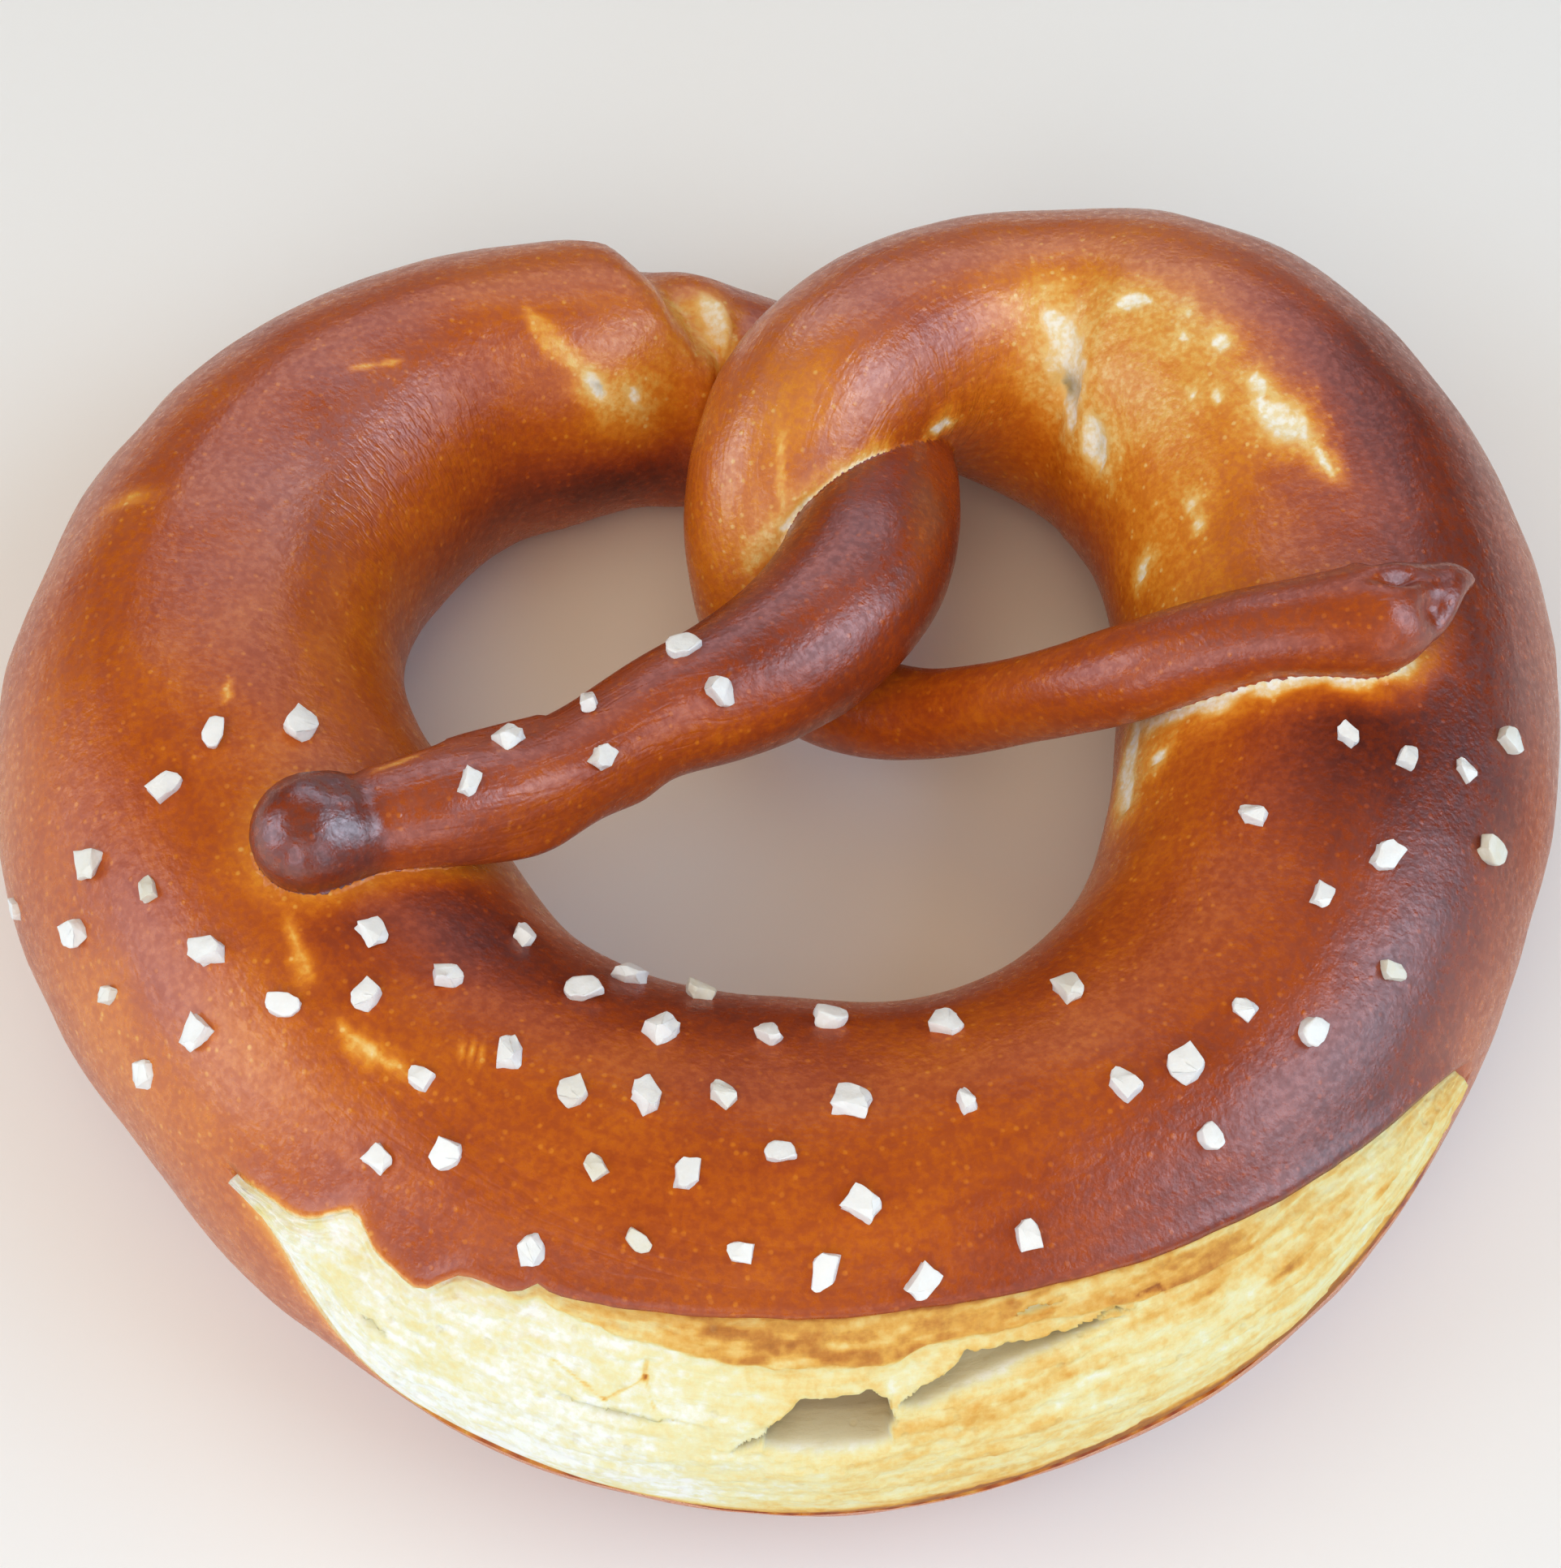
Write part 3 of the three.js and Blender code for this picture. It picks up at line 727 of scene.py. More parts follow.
def lay_rope(tube, start, end, low, high):
    """Moves a bench tube's points onto the rope between two stations, and marks where each lies on it. Below
    the bench height low, and above high, lie the rings of its caps."""
    bench = places_of(tube)
    height = bench[:, 2]
    radius = np.hypot(bench[:, 0], bench[:, 1])
    columns = np.mod(np.arctan2(-bench[:, 1], bench[:, 0]) / (2 * np.pi) + 1e-7, 1)
    share = np.clip((height - low) / (high - low), 0, 1)
    lengths = mix(length_at(start), length_at(end), share)
    stations = station_at(lengths)
    section = Sections(stations)
    at_start = height < low
    cap = np.where(at_start, (low - height) / max(low, 1e-9), (height - high) / max(1 - high, 1e-9))
    cap = np.clip(cap, 0, 1)
    domed = np.where(at_start, start == 0, end == LAST_STATION)
    bow = np.where(radius > 0.5, 0.94 * cap, cap) * np.pi / 2
    shift = np.where(at_start, -1, 1) * np.where(domed, section.wide * np.sin(bow), PLUG_REACH * cap)
    angles, sunk, burst = column_angles(columns, stations)
    slant = SLANT * np.cos(np.radians(angles - SLANT_TOWARDS))
    slant = slant * smooth(stations, SLANT_FROM, LAST_STATION) * radius
    shift = shift + slant
    section.middle = section.middle + section.ahead * shift[:, None]
    scale = np.where(domed, np.cos(bow), 1 - PLUG_TAPER * cap) * radius
    smooth_rope = section.surface(angles, 0, scale)
    relief = crust_relief(stations, angles, smooth_rope, section, burst) * scale
    relief = mix(relief, -BED_DEPTH, sunk) * (radius > 0.5)
    move_to(tube, section.surface(angles, relief, scale))
    write_rope_uv(tube, lengths + shift, angles, section.wide)


def write_rope_uv(piece, lengths, angles, wide):
    """A map of the rope: how far along it and how far round it each corner lies, in metres. A face that
    crosses the line where the measure round the rope starts again is kept whole."""
    numbers = corner_points(piece)
    lengths = lengths[numbers]
    rounds = (np.radians(angles) * wide)[numbers]
    girths = (2 * np.pi * wide)[numbers]
    starts = np.array([face.loop_start for face in piece.data.polygons])
    totals = np.array([face.loop_total for face in piece.data.polygons])
    first = np.repeat(rounds[starts], totals)
    rounds = rounds - np.round((rounds - first) / girths) * girths
    rope = piece.data.uv_layers.active
    rope.name = "rope"
    rope.data.foreach_set("uv", (np.column_stack([lengths, rounds]) * MM).ravel())


def rope_places(piece):
    """How far along the rope and how far round it each corner lies, in millimetres."""
    uv = np.empty(len(piece.data.loops) * 2)
    piece.data.uv_layers["rope"].data.foreach_get("uv", uv)
    return uv.reshape(-1, 2).T / MM


def weld_joints(piece):
    """Merges the points that the union left doubled where two lengths meet end to end."""
    places = places_of(piece)
    doubled = np.zeros(len(places), bool)
    for station in (LEFT_LOOP, BELLY_JOINT, TAIL_JOINT):
        section = Sections([station])
        offsets = places - section.middle[0]
        in_plane = np.abs(offsets @ section.ahead[0]) < 0.05
        doubled |= in_plane & (np.linalg.norm(offsets, axis=1) < 1.5 * section.wide[0])
    select_only(piece, vertices=doubled)
    bpy.ops.mesh.remove_doubles(threshold=0.02)
    bpy.ops.object.mode_set(mode="OBJECT")


def soften_creases(piece):
    """Rounds the creases where one stretch of dough was pressed onto another."""
    stations = np.zeros(len(piece.data.vertices))
    stations[corner_points(piece)] = station_at(rope_places(piece)[0])
    in_burst = (stations > BURST_FROM - 0.3) & (stations < BURST_TO + 0.3)
    take(piece)
    bpy.ops.object.mode_set(mode="EDIT")
    bpy.ops.mesh.select_mode(type="EDGE")
    bpy.ops.mesh.select_all(action="DESELECT")
    bpy.ops.mesh.edges_select_sharp(sharpness=math.radians(35))
    bpy.ops.mesh.select_mode(type="VERT")
    bpy.ops.object.mode_set(mode="OBJECT")
    sharp = np.empty(len(stations), bool)
    piece.data.vertices.foreach_get("select", sharp)
    select_only(piece, vertices=sharp & ~in_burst & (places_of(piece)[:, 2] > 1))
    bpy.ops.mesh.select_more()
    bpy.ops.mesh.vertices_smooth(factor=0.5, repeat=3)
    bpy.ops.object.mode_set(mode="OBJECT")


FOOT = 0.35  # how softly the flat foot turns up into the side


def rest_on_tray(piece):
    """Presses what lies below the tray's plane flat onto it, with a soft edge."""
    places = places_of(piece)
    places[:, 2] = FOOT * np.logaddexp(0, places[:, 2] / FOOT)
    move_to(piece, places)


LIGHTEST = 0.14  # shade of crust that isn't torn or stretched, at the least
THIN_SHADE, TORN_SHADE = 0.06, 0.05  # of thin golden skin, and of the skin round a tear
UNDERSIDE_SHADE = 0.5
BRIGHTEST = 2  # gloss, where patches add up


def crust_tone_and_shadow(marks):
    """How dark the crust is, by the place along the rope and in patches: mostly its baked colour, with some
    painted shade.
    """
    shade = SHADE + 0.05 * noise(marks.points, 16, 7) + 0.035 * noise(marks.points, 6, 2)
    shade += np.interp(marks.stations, *zip(*END_SHADES))
    for station, angle, length, breadth, darker in TONE_AND_SHADOW_PATCHES:
        shade += darker * marks.patch(station, angle, length, breadth)
    return shade


def baked_gloss(marks):
    gloss = np.ones(len(marks.points))
    for station, angle, length, breadth, duller in DULL_PATCHES:
        gloss *= 1 - duller * marks.patch(station, angle, length, breadth)
    return np.minimum(gloss, BRIGHTEST)


def stretch_skin(marks, shade):
    """The shade, golden where the crust was stretched thin and pale round its tears, and a mask of the
    tears."""
    for line, width in THIN_SKIN:
        core, glow = marks.along_line(line, width, 1.5)
        shade = mix(shade, THIN_SHADE, 0.85 * np.maximum(0.15 * glow, smooth(core, 0.1, 0.7)))
    torn = np.zeros(len(shade))
    for line, width in TEARS:
        core, glow = marks.along_line(line, width, 0.9 + 1.4 * width)
        torn = np.maximum(torn, core)
        shade = mix(shade, TORN_SHADE, 0.85 * glow)
    return shade, torn


# A mask of the holes in the tears, which the crust's material fills with painted shade.
def torn_holes(marks):
    hole_shadow = np.zeros(len(marks.points))
    for station, angle, radius in TORN_HOLES:
        hole_shadow = np.maximum(hole_shadow, marks.patch(station, angle, radius, radius))
    return hole_shadow


def mark_crust(piece):
    """Writes the masks that the crust's material reads: its shade and gloss, where it is torn, wrinkled or
    stretched, and the holes in its tears, which get painted shade."""
    lengths, rounds = rope_places(piece)
    stations = station_at(lengths)
    section, burst = Sections(stations), Burst(stations)
    angles = np.degrees(rounds / section.wide)
    points = places_of(piece)[corner_points(piece)]
    marks = Marks(stations, angles, points)
    gap = edge_distance(angles, burst, section.wide)
    shade = crust_tone_and_shadow(marks)
    browned, paler = 0.12 * np.exp(-gap / 4), 0.26 * smooth(gap, 5, 0)
    shade += burst.open * np.where(burst.is_above(angles), browned, -paler)
    shade -= burst.open * smooth(burst.share, 0.3, 0.1) * 0.3 * np.exp(-gap / 0.9)
    shade, torn = stretch_skin(marks, np.clip(shade, LIGHTEST, 1))
    fringe = burst.open * smooth(burst.share, 0.3, 0.04) * np.exp(-gap / 0.7)
    torn = np.maximum(torn, fringe * 0.5)
    shade, torn = mark_contacts(stations, points, shade, torn)
    shade = mix(shade, UNDERSIDE_SHADE, smooth(points[:, 2], 1.2, 0.2))
    write_mask(piece, "shade", np.clip(shade, 0, 1))
    write_mask(piece, "torn", torn)
    write_mask(piece, "hole_shadow", torn_holes(marks))
    write_mask(piece, "wrinkled", wrinkles(stations, angles))
    write_mask(piece, "stretched", stretches(stations, angles))
    write_mask(piece, "gloss", baked_gloss(marks))


def mark_contacts(stations, points, shade, torn):
    """Dough that another strand was pressed onto baked pale along the line where they touch."""
    on_left = (stations > LEFT_LOOP + 8) & (stations < BELLY + 2)
    under_left_end = strand_gap(points, on_left, 0, 2.4)
    shade = mix(shade, 0.2, 0.85 * smooth(under_left_end, 4, 0.3))
    on_right = (stations > RIGHT_LOOP) & (stations < RIGHT_LOOP + 4)
    under_right_end = strand_gap(points, on_right, RIGHT_TAIL + 5.6, RIGHT_TAIL + 9.3)
    under_right_end = under_right_end + 0.7 * noise(points, 2.2, 9) + 0.4 * noise(points, 0.8, 12)
    front = smooth(points[:, 1], 6, 2)
    glow = smooth(under_right_end, 5, 0.6) * mix(0.45, 1, front)
    shade = mix(shade, 0.16, 0.9 * glow)
    crease = front * smooth(under_right_end, 2.5, 0.6) * smooth(points[:, 0], 60, 54)
    return shade, np.maximum(torn, 0.62 * crease)


def wrinkles(stations, angles):
    """Where the crust wrinkled finely: on the left loop's inner side, and in the right loop's tight bend."""
    left = hill(stations, LEFT_LOOP + 6.2, 1.4) * hill(angles, 140, 22)
    tight = hill(stations, RIGHT_LOOP + 7.3, 0.9) * hill(angles, 165, 35)
    return np.clip(left + tight, 0, 1)


def stretches(stations, angles):
    """Where the crust was drawn long: on the left tail, on the right strand, and above the burst."""
    tail = smooth(stations, LEFT_TAIL + 0.8, LEFT_TAIL + 1.4)
    tail = tail * smooth(stations, LEFT_TAIL + 6, LEFT_TAIL + 3.5)
    strand = hill(stations, RIGHT_TAIL + 0.3, 1.2) * 0.7
    belly = hill(stations, BELLY + 2, 1.1) * hill(angles, 68, 20) * 0.8
    return np.clip(tail + strand + belly, 0, 1)


def make_crust():
    lengths = []
    for start, end, spacing, first_cap, last_cap in ROPE_LENGTHS:
        rings = round(float(length_at(end) - length_at(start)) / spacing) + first_cap + last_cap
        tube = add_tube(rings)
        lay_rope(tube, start, end, first_cap / rings, 1 - last_cap / rings)
        lengths.append(tube)
    crust, *others = lengths
    for other in others:
        apply_modifier(crust, "BOOLEAN", operation="UNION", object=other, solver="MANIFOLD")
        bpy.data.objects.remove(other)
    crust.name = crust.data.name = "crust"
    weld_joints(crust)
    soften_creases(crust)
    rest_on_tray(crust)
    mark_crust(crust)
    finish_piece(crust)
    return crust


def finish_piece(piece):
    """Scales a piece's mesh from millimetres to metres and shades it smooth."""
    piece.data.transform(Matrix.Scale(MM, 4))
    take(piece)
    bpy.ops.object.shade_smooth()


# ---- Crumb ----

CRUMB_ALONG, CRUMB_ACROSS = 600, 128  # cells of the crumb's face
UNDERSIDE_COARSER = 10
CRUMB_THICK = 2.6  # how far the underside lies below the crust's bed
CRUMB_MARGIN = 0.05  # how many stations the crumb reaches past the burst's tips,
TIP_DEPTH = 1.6  # and how deep it lies there
TUCK = 0.035  # how far the crumb reaches under the crust's edges, as a share of its width,
TUCK_DEPTH = 0.9  # and how much deeper it lies there
BURST_LENGTH = float(length_at(BURST_TO) - length_at(BURST_FROM))
CRUMB_WIDTH = 25  # millimetres across the open burst, for the size of its texture

DEEPEST = 3  # the depth at which a pocket's painted shadow is darkest
# Pockets torn into the crumb: how deep each is, and its outline as shares of the way along the burst and
# across it: share along, lower edge, upper edge.
POCKETS = [
    (
        2.6,
        [
            (0.408, 0.5, 0.58),
            (0.415, 0.48, 0.63),
            (0.43, 0.46, 0.7),
            (0.45, 0.45, 0.71),
            (0.484, 0.47, 0.69),
            (0.494, 0.5, 0.67),
            (0.5, 0.58, 0.6),
        ],
    ),
    (
        3,
        [
            (0.387, 0.48, 0.485),
            (0.394, 0.485, 0.53),
            (0.408, 0.53, 0.575),
            (0.42, 0.58, 0.63),
            (0.426, 0.62, 0.63),
        ],
    ),
    (
        2,
        [
            (0.502, 0.65, 0.66),
            (0.518, 0.6, 0.73),
            (0.554, 0.64, 0.8),
            (0.6, 0.7, 0.805),
            (0.645, 0.745, 0.79),
            (0.68, 0.77, 0.775),
        ],
    ),
    (
        1.3,
        [
            (0.268, 0.583, 0.588),
            (0.285, 0.56, 0.587),
            (0.31, 0.55, 0.58),
            (0.33, 0.555, 0.58),
            (0.354, 0.592, 0.595),
        ],
    ),
    (0.8, [(0.125, 0.53, 0.535), (0.135, 0.5, 0.57), (0.146, 0.53, 0.54)]),
    (0.8, [(0.59, 0.9, 0.905), (0.605, 0.885, 0.93), (0.625, 0.9, 0.92), (0.635, 0.91, 0.915)]),
]
# Above this line the crumb dried to a tan shelf with a browned rim: share along, share across.
SHELF = [
    (0.2, 0.985),
    (0.234, 0.945),
    (0.29, 0.91),
    (0.333, 0.87),
    (0.38, 0.82),
    (0.45, 0.81),
    (0.495, 0.81),
    (0.524, 0.86),
    (0.6, 0.87),
    (0.655, 0.84),
    (0.74, 0.8),
    (0.85, 0.78),
    (1, 0.8),
]
# Browned spots: share along, share across, half sizes in millimetres, and how brown.
TOASTED = [
    (0.623, 0.63, 2.6, 1.2, 0.28),
    (0.547, 0.56, 3, 1.6, 0.2),
    (0.69, 0.85, 2, 0.6, 0.25),
    (0.79, 0.6, 1.6, 0.7, 0.25),
    (0.84, 0.72, 1.4, 0.7, 0.3),
    (0.73, 0.72, 1.5, 0.5, 0.2),
    (0.24, 0.93, 2.5, 0.8, 0.25),
    (0.42, 0.76, 6, 1.2, 0.15),
    (0.46, 0.9, 5, 1.4, 0.15),
    (0.36, 0.93, 2, 0.8, 0.2),
    (0.88, 0.55, 2, 0.7, 0.2),
]
# Fine browned cracks: their ends as shares along and across.
HAIRLINES = [
    ((0.262, 0.71), (0.3, 0.62)),
    ((0.3, 0.62), (0.325, 0.73)),
    ((0.325, 0.73), (0.324, 0.8)),
    ((0.325, 0.73), (0.334, 0.62)),
    ((0.685, 0.85), (0.7, 0.86)),
    ((0.7, 0.86), (0.706, 0.8)),
]


def add_slab():
    """A block on the bench with a fine top and a coarse underside, from -1 to 1 along and across."""
    deselect()
    bpy.ops.mesh.primitive_grid_add(x_subdivisions=CRUMB_ALONG, y_subdivisions=CRUMB_ACROSS, size=2)
    top = bpy.context.object
    bpy.ops.mesh.primitive_grid_add(
        x_subdivisions=CRUMB_ALONG // UNDERSIDE_COARSER,
        y_subdivisions=CRUMB_ACROSS // UNDERSIDE_COARSER,
        size=2,
        location=(0, 0, -1),
    )
    bpy.ops.object.mode_set(mode="EDIT")
    bpy.ops.mesh.select_all(action="SELECT")
    bpy.ops.mesh.flip_normals()
    bpy.ops.object.mode_set(mode="OBJECT")
    top.select_set(True)
    bpy.context.view_layer.objects.active = top
    bpy.ops.object.join()
    places = places_of(top)
    on_rim = np.abs(places[:, :2]).max(axis=1) > 0.9999
    ends = np.array([edge.vertices[:] for edge in top.data.edges])
    middles = (places[ends[:, 0]] + places[ends[:, 1]]) / 2
    rim = on_rim[ends].all(axis=1) & (np.abs(middles[:, :2]).max(axis=1) > 0.9999)
    select_only(top, edges=rim)
    bpy.ops.mesh.bridge_edge_loops()
    bpy.ops.object.mode_set(mode="OBJECT")
    return top


def toasted_spots(share, across, patchy):
    """How brown the browned spots are."""
    brown = np.zeros(len(share))
    for at, up, long, broad, strength in TOASTED:
        x = (share - at) * BURST_LENGTH / long
        y = (across - up) * CRUMB_WIDTH / broad
        brown += strength * np.exp(-(x * x + y * y)) * mix(0.6, 1.1, patchy)
    return brown


def hairlines(places, crumbs):
    """How brown and how deep the fine cracks are."""
    brown, depth = np.zeros((2, len(places)))
    scale = np.array([BURST_LENGTH, CRUMB_WIDTH])
    for start, end in HAIRLINES:
        a, b = np.array(start) * scale, np.array(end) * scale
        t = np.clip(((places[:, :2] - a) @ (b - a)) / ((b - a) @ (b - a)), 0, 1)
        gap = np.linalg.norm(places[:, :2] - a - t[:, None] * (b - a), axis=1) + 0.15 * crumbs
        brown += 0.3 * hill(gap, 0, 0.11)
        depth += 0.05 * hill(gap, 0, 0.2)
    return brown, depth


def pockets(share, across, places, grain):
    """How far the pockets are sunk in, how brown their upper rims are, and how much painted shadow a place
    gets from how deep in a pocket it lies, from 0 to 1."""
    sunk, rims, pocket_shadow = np.zeros((3, len(share)))
    frayed = 0.03 * noise(places, (3, 5, 1), 25) + 0.016 * noise(places, (0.8, 2.5, 1), 27)
    along = share + 0.004 * noise(places, (5, 1.4, 1), 29)
    for depth, outline in POCKETS:
        shares, lows, highs = zip(*outline)
        low, high = np.interp(along, shares, lows), np.interp(along, shares, highs)
        up = (across - low) / np.maximum(high - low, 0.01)
        up = up + frayed * smooth(up, 0.6, 0.95) / np.maximum(high - low, 0.02)
        inside = (along > shares[0]) & (along < shares[-1])
        bowl = inside * smooth(up, -0.05, 0.65) * smooth(up, 1.02, 0.93) * smooth(high - low, 0, 0.03)
        sunk += bowl * (depth + grain) - 0.25 * inside * hill(up, 1.1, 0.1)
        rims += 0.15 * inside * hill(up, 1.06, 0.08)
        pocket_shadow = np.maximum(pocket_shadow, bowl * min(1, depth / DEEPEST))
    return sunk, rims, pocket_shadow


def crumb_parts(share, across):
    """How proud the crumb stands, how brown it is and its painted shadow in pockets, at shares of the burst.
    """
    places = np.column_stack([share * BURST_LENGTH, across * CRUMB_WIDTH, share * 0])
    fibres = noise(places, (6, 1.5, 1)) + 0.5 * noise(places, (2.6, 0.7, 1), 4)
    crumbs = noise(places, (1.6, 0.9, 1), 8) + 0.6 * noise(places, 0.55, 11)
    flakes = smooth(noise(places, (3.2, 1.5, 1), 15) + 0.4 * noise(places, 0.7, 17), -0.06, 0.06)
    bare = smooth(across, 0, 0.14)
    proud = CRUMB_SWELL * np.sin(np.pi * np.clip(across, 0, 1)) ** 2
    proud -= CRUMB_DEPTH * smooth(across, 0, 0.9) * smooth(share, -0.03, 0.15)
    proud += bare * (0.16 * fibres + 0.1 * crumbs + 0.14 * flakes + 0.35 * noise(places, 9, 3))
    right = smooth(share, 0.2, 0.6)
    shelf_line = np.interp(share, *zip(*SHELF)) + 0.02 * noise(places, (5, 90, 1), 2) + 0.01 * crumbs
    shelf = smooth(across, shelf_line - 0.012, shelf_line + 0.012)
    shelf = shelf * smooth(share, 0.2, 0.26) * smooth(share, 0.9, 0.7)
    rim = hill(across, shelf_line + 0.014, 0.016) * smooth(share, 0.21, 0.25) * smooth(share, 0.85, 0.65)
    proud += 0.45 * shelf + 0.2 * rim
    patchy = np.clip(0.5 + 0.8 * noise(places, (4, 2, 1), 21) + 0.5 * crumbs, 0, 1)
    streaks = smooth(noise(places, (5, 1.7, 1), 33) + 0.4 * noise(places, (2, 0.6, 1), 35), 0.12, 0.5)
    clouds = mix(0.07, 0.08, right) * noise(places, (11, 6, 1), 41)
    brown = mix(0.05, 0.25, right) + 0.12 * right * patchy + 0.05 * crumbs
    brown += 0.08 * mix(0.2, 1, right) * streaks
    brown += clouds - 0.1 * smooth(across, 0.5, 0.2) * smooth(share, 0.6, 0.35)
    toasted = shelf * (0.23 + 0.08 * patchy + 0.14 * streaks) + 0.25 * rim * np.clip(0.6 + fibres, 0, 1)
    brown += toasted * mix(1, 0.45, smooth(share, 0.42, 0.62))
    brown += 0.25 * right * smooth(across, 0.97, 1)
    brown += mix(0.35, 0.6, right) * smooth(across, mix(0.035, 0.17, right), 0)
    brown += 0.3 * right * smooth(across, 0.3, 0) ** 2
    brown += toasted_spots(share, across, patchy)
    cracks, clefts = hairlines(places, crumbs)
    grain = bare * (0.12 * fibres + 0.09 * crumbs + 0.1 * flakes)
    sunk, rims, pocket_shadow = pockets(share, across, places, grain)
    proud -= clefts + sunk
    # Deep in a pocket the browning gives way to the painted shadow.
    brown = (brown + cracks + rims) * (1 - 0.9 * smooth(pocket_shadow, 0, 0.3))
    return proud, brown, pocket_shadow


def make_crumb():
    crumb = add_slab()
    crumb.name = crumb.data.name = "crumb"
    bench = places_of(crumb)
    share = (bench[:, 0] + 1) / 2
    across = mix(-TUCK, 1 + TUCK, (bench[:, 1] + 1) / 2)
    stations = mix(BURST_FROM - CRUMB_MARGIN, BURST_TO + CRUMB_MARGIN, share)
    section, burst = Sections(stations), Burst(stations)
    proud, brown, pocket_shadow = crumb_parts(burst.share, across)
    tucked = smooth(np.minimum(across, 1 - across), 0.012, -TUCK)
    proud = proud - TUCK_DEPTH * tucked
    proud = mix(-TIP_DEPTH, proud, smooth(burst.open, 0.02, 0.3))
    proud = np.where(bench[:, 2] < -0.5, -CRUMB_THICK - BED_DEPTH, proud)
    angles = mix(burst.lower, burst.upper, across)
    move_to(crumb, section.surface(angles, proud))
    write_rope_uv(crumb, length_at(stations), angles, section.wide)
    write_mask(crumb, "brown", np.clip(brown, 0, 1), "POINT")
    write_mask(crumb, "pocket_shadow", pocket_shadow, "POINT")
    rest_on_tray(crumb)
    finish_piece(crumb)
    return crumb


# ---- Salt ----

SALT_SEED = 11
# Each zone is a stretch of crust that was sprinkled: stations, angles round the rope, and the grains.
SALT_ZONES = [
    (LEFT_TAIL + 1.6, LEFT_TAIL + 4.6, 20, 150, 6),
    (LEFT_LOOP + 9.2, BELLY + 0.7, 15, 115, 13),
    (BELLY + 0.7, BELLY + 3.4, 59, 140, 25),
    (BELLY + 3.4, RIGHT_LOOP + 0.1, 59, 125, 11),
    (RIGHT_LOOP + 0.1, RIGHT_LOOP + 1.7, 45, 135, 8),
]
SALT_GAP = 5.5  # least distance between two grains
SALT_SIZE = (2.3, 3.4)  # shortest and longest grain
SALT_WIDTH = (0.65, 0.9)  # of a grain's length
SALT_HEIGHT = (0.55, 0.75)  # of a grain's length
SALT_SHOWING = 0.3  # how far a grain's middle stands above the crust, as a share of its half height
SALT_LEAN = 0.25  # how far a grain leans over, at most, as a slope
APART = 3  # stations from which another stretch of the rope can cover a place
ROOM = 2  # how far a grain's middle keeps from such a stretch
CRYSTAL_KINDS = 6
CRYSTAL_CUTS = 9  # corners cut off each kind,
CUT_REACH = (0.78, 0.95)  # and how far from its middle
TINTS = 10  # tints that the grains take in turn


class Draws:
    """Repeatable random numbers."""

    MULTIPLIER, MODULUS = 16807, 2147483647

    def __init__(self, seed):
        self.state = seed

    def between(self, low, high):
        self.state = self.state * self.MULTIPLIER % self.MODULUS
        return mix(low, high, self.state / self.MODULUS)


OTHER_STATIONS = np.arange(0, LAST_STATION + 0.01, 0.25)
OTHER_SECTIONS = Sections(OTHER_STATIONS)


def is_open(point, station):
    """Whether a point on the rope isn't covered by another stretch of the rope."""
    elsewhere = np.abs(OTHER_STATIONS - station) >= APART
    gaps = np.linalg.norm(OTHER_SECTIONS.middle - point, axis=1) - OTHER_SECTIONS.wide - ROOM
    return not (gaps[elsewhere] < 0).any()


def salt_places():
    """Where the grains lie: each one's point, half sizes, turn and the way it faces."""
    draws = Draws(SALT_SEED)
    grains = []
    for start, end, low, high, count in SALT_ZONES:
        left = count
        while left > 0:
            station = draws.between(start, end)
            angle = draws.between(low, high)
            section = Sections([station])
            point = section.surface(np.array([angle]))[0]
            if any(np.linalg.norm(grain[0] - point) < SALT_GAP for grain in grains):
                continue
            if not is_open(point, station):
                continue
            length = draws.between(*SALT_SIZE)
            width = length * draws.between(*SALT_WIDTH)
            height = length * draws.between(*SALT_HEIGHT)
            turn = draws.between(0, math.pi)
            lean = np.array([draws.between(-1, 1), draws.between(-1, 1), 0]) * SALT_LEAN
            facing = unit(section.surface(np.array([angle]), 1)[0] - point + lean)
            grains.append((point, (length / 2, width / 2, height / 2), turn, facing))
            left -= 1
    return grains


def add_crystal(seed):
    """One salt crystal, about 2 units across: a block with its corners cut off at odd angles and worn."""
    draws = np.random.default_rng(seed)
    deselect()
    bpy.ops.mesh.primitive_cube_add(size=1.76)
    crystal = bpy.context.object
    bpy.ops.object.mode_set(mode="EDIT")
    for _ in range(CRYSTAL_CUTS):
        direction = Vector(unit(draws.normal(size=3)))
        passing = direction * draws.uniform(*CUT_REACH)
        bpy.ops.mesh.select_all(action="SELECT")
        bpy.ops.mesh.bisect(plane_co=passing, plane_no=direction, use_fill=True, clear_outer=True)
    bpy.ops.object.mode_set(mode="OBJECT")
    apply_modifier(crystal, "BEVEL", width=0.22, segments=2, limit_method="ANGLE")
    apply_modifier(crystal, "TRIANGULATE")
    apply_modifier(crystal, "SUBSURF", subdivision_type="SIMPLE", levels=1, render_levels=1)
    places = places_of(crystal)
    places += 0.15 * np.column_stack([noise(places, 0.7, seed + k) for k in (0, 20, 40)])
    move_to(crystal, places)
    return crystal


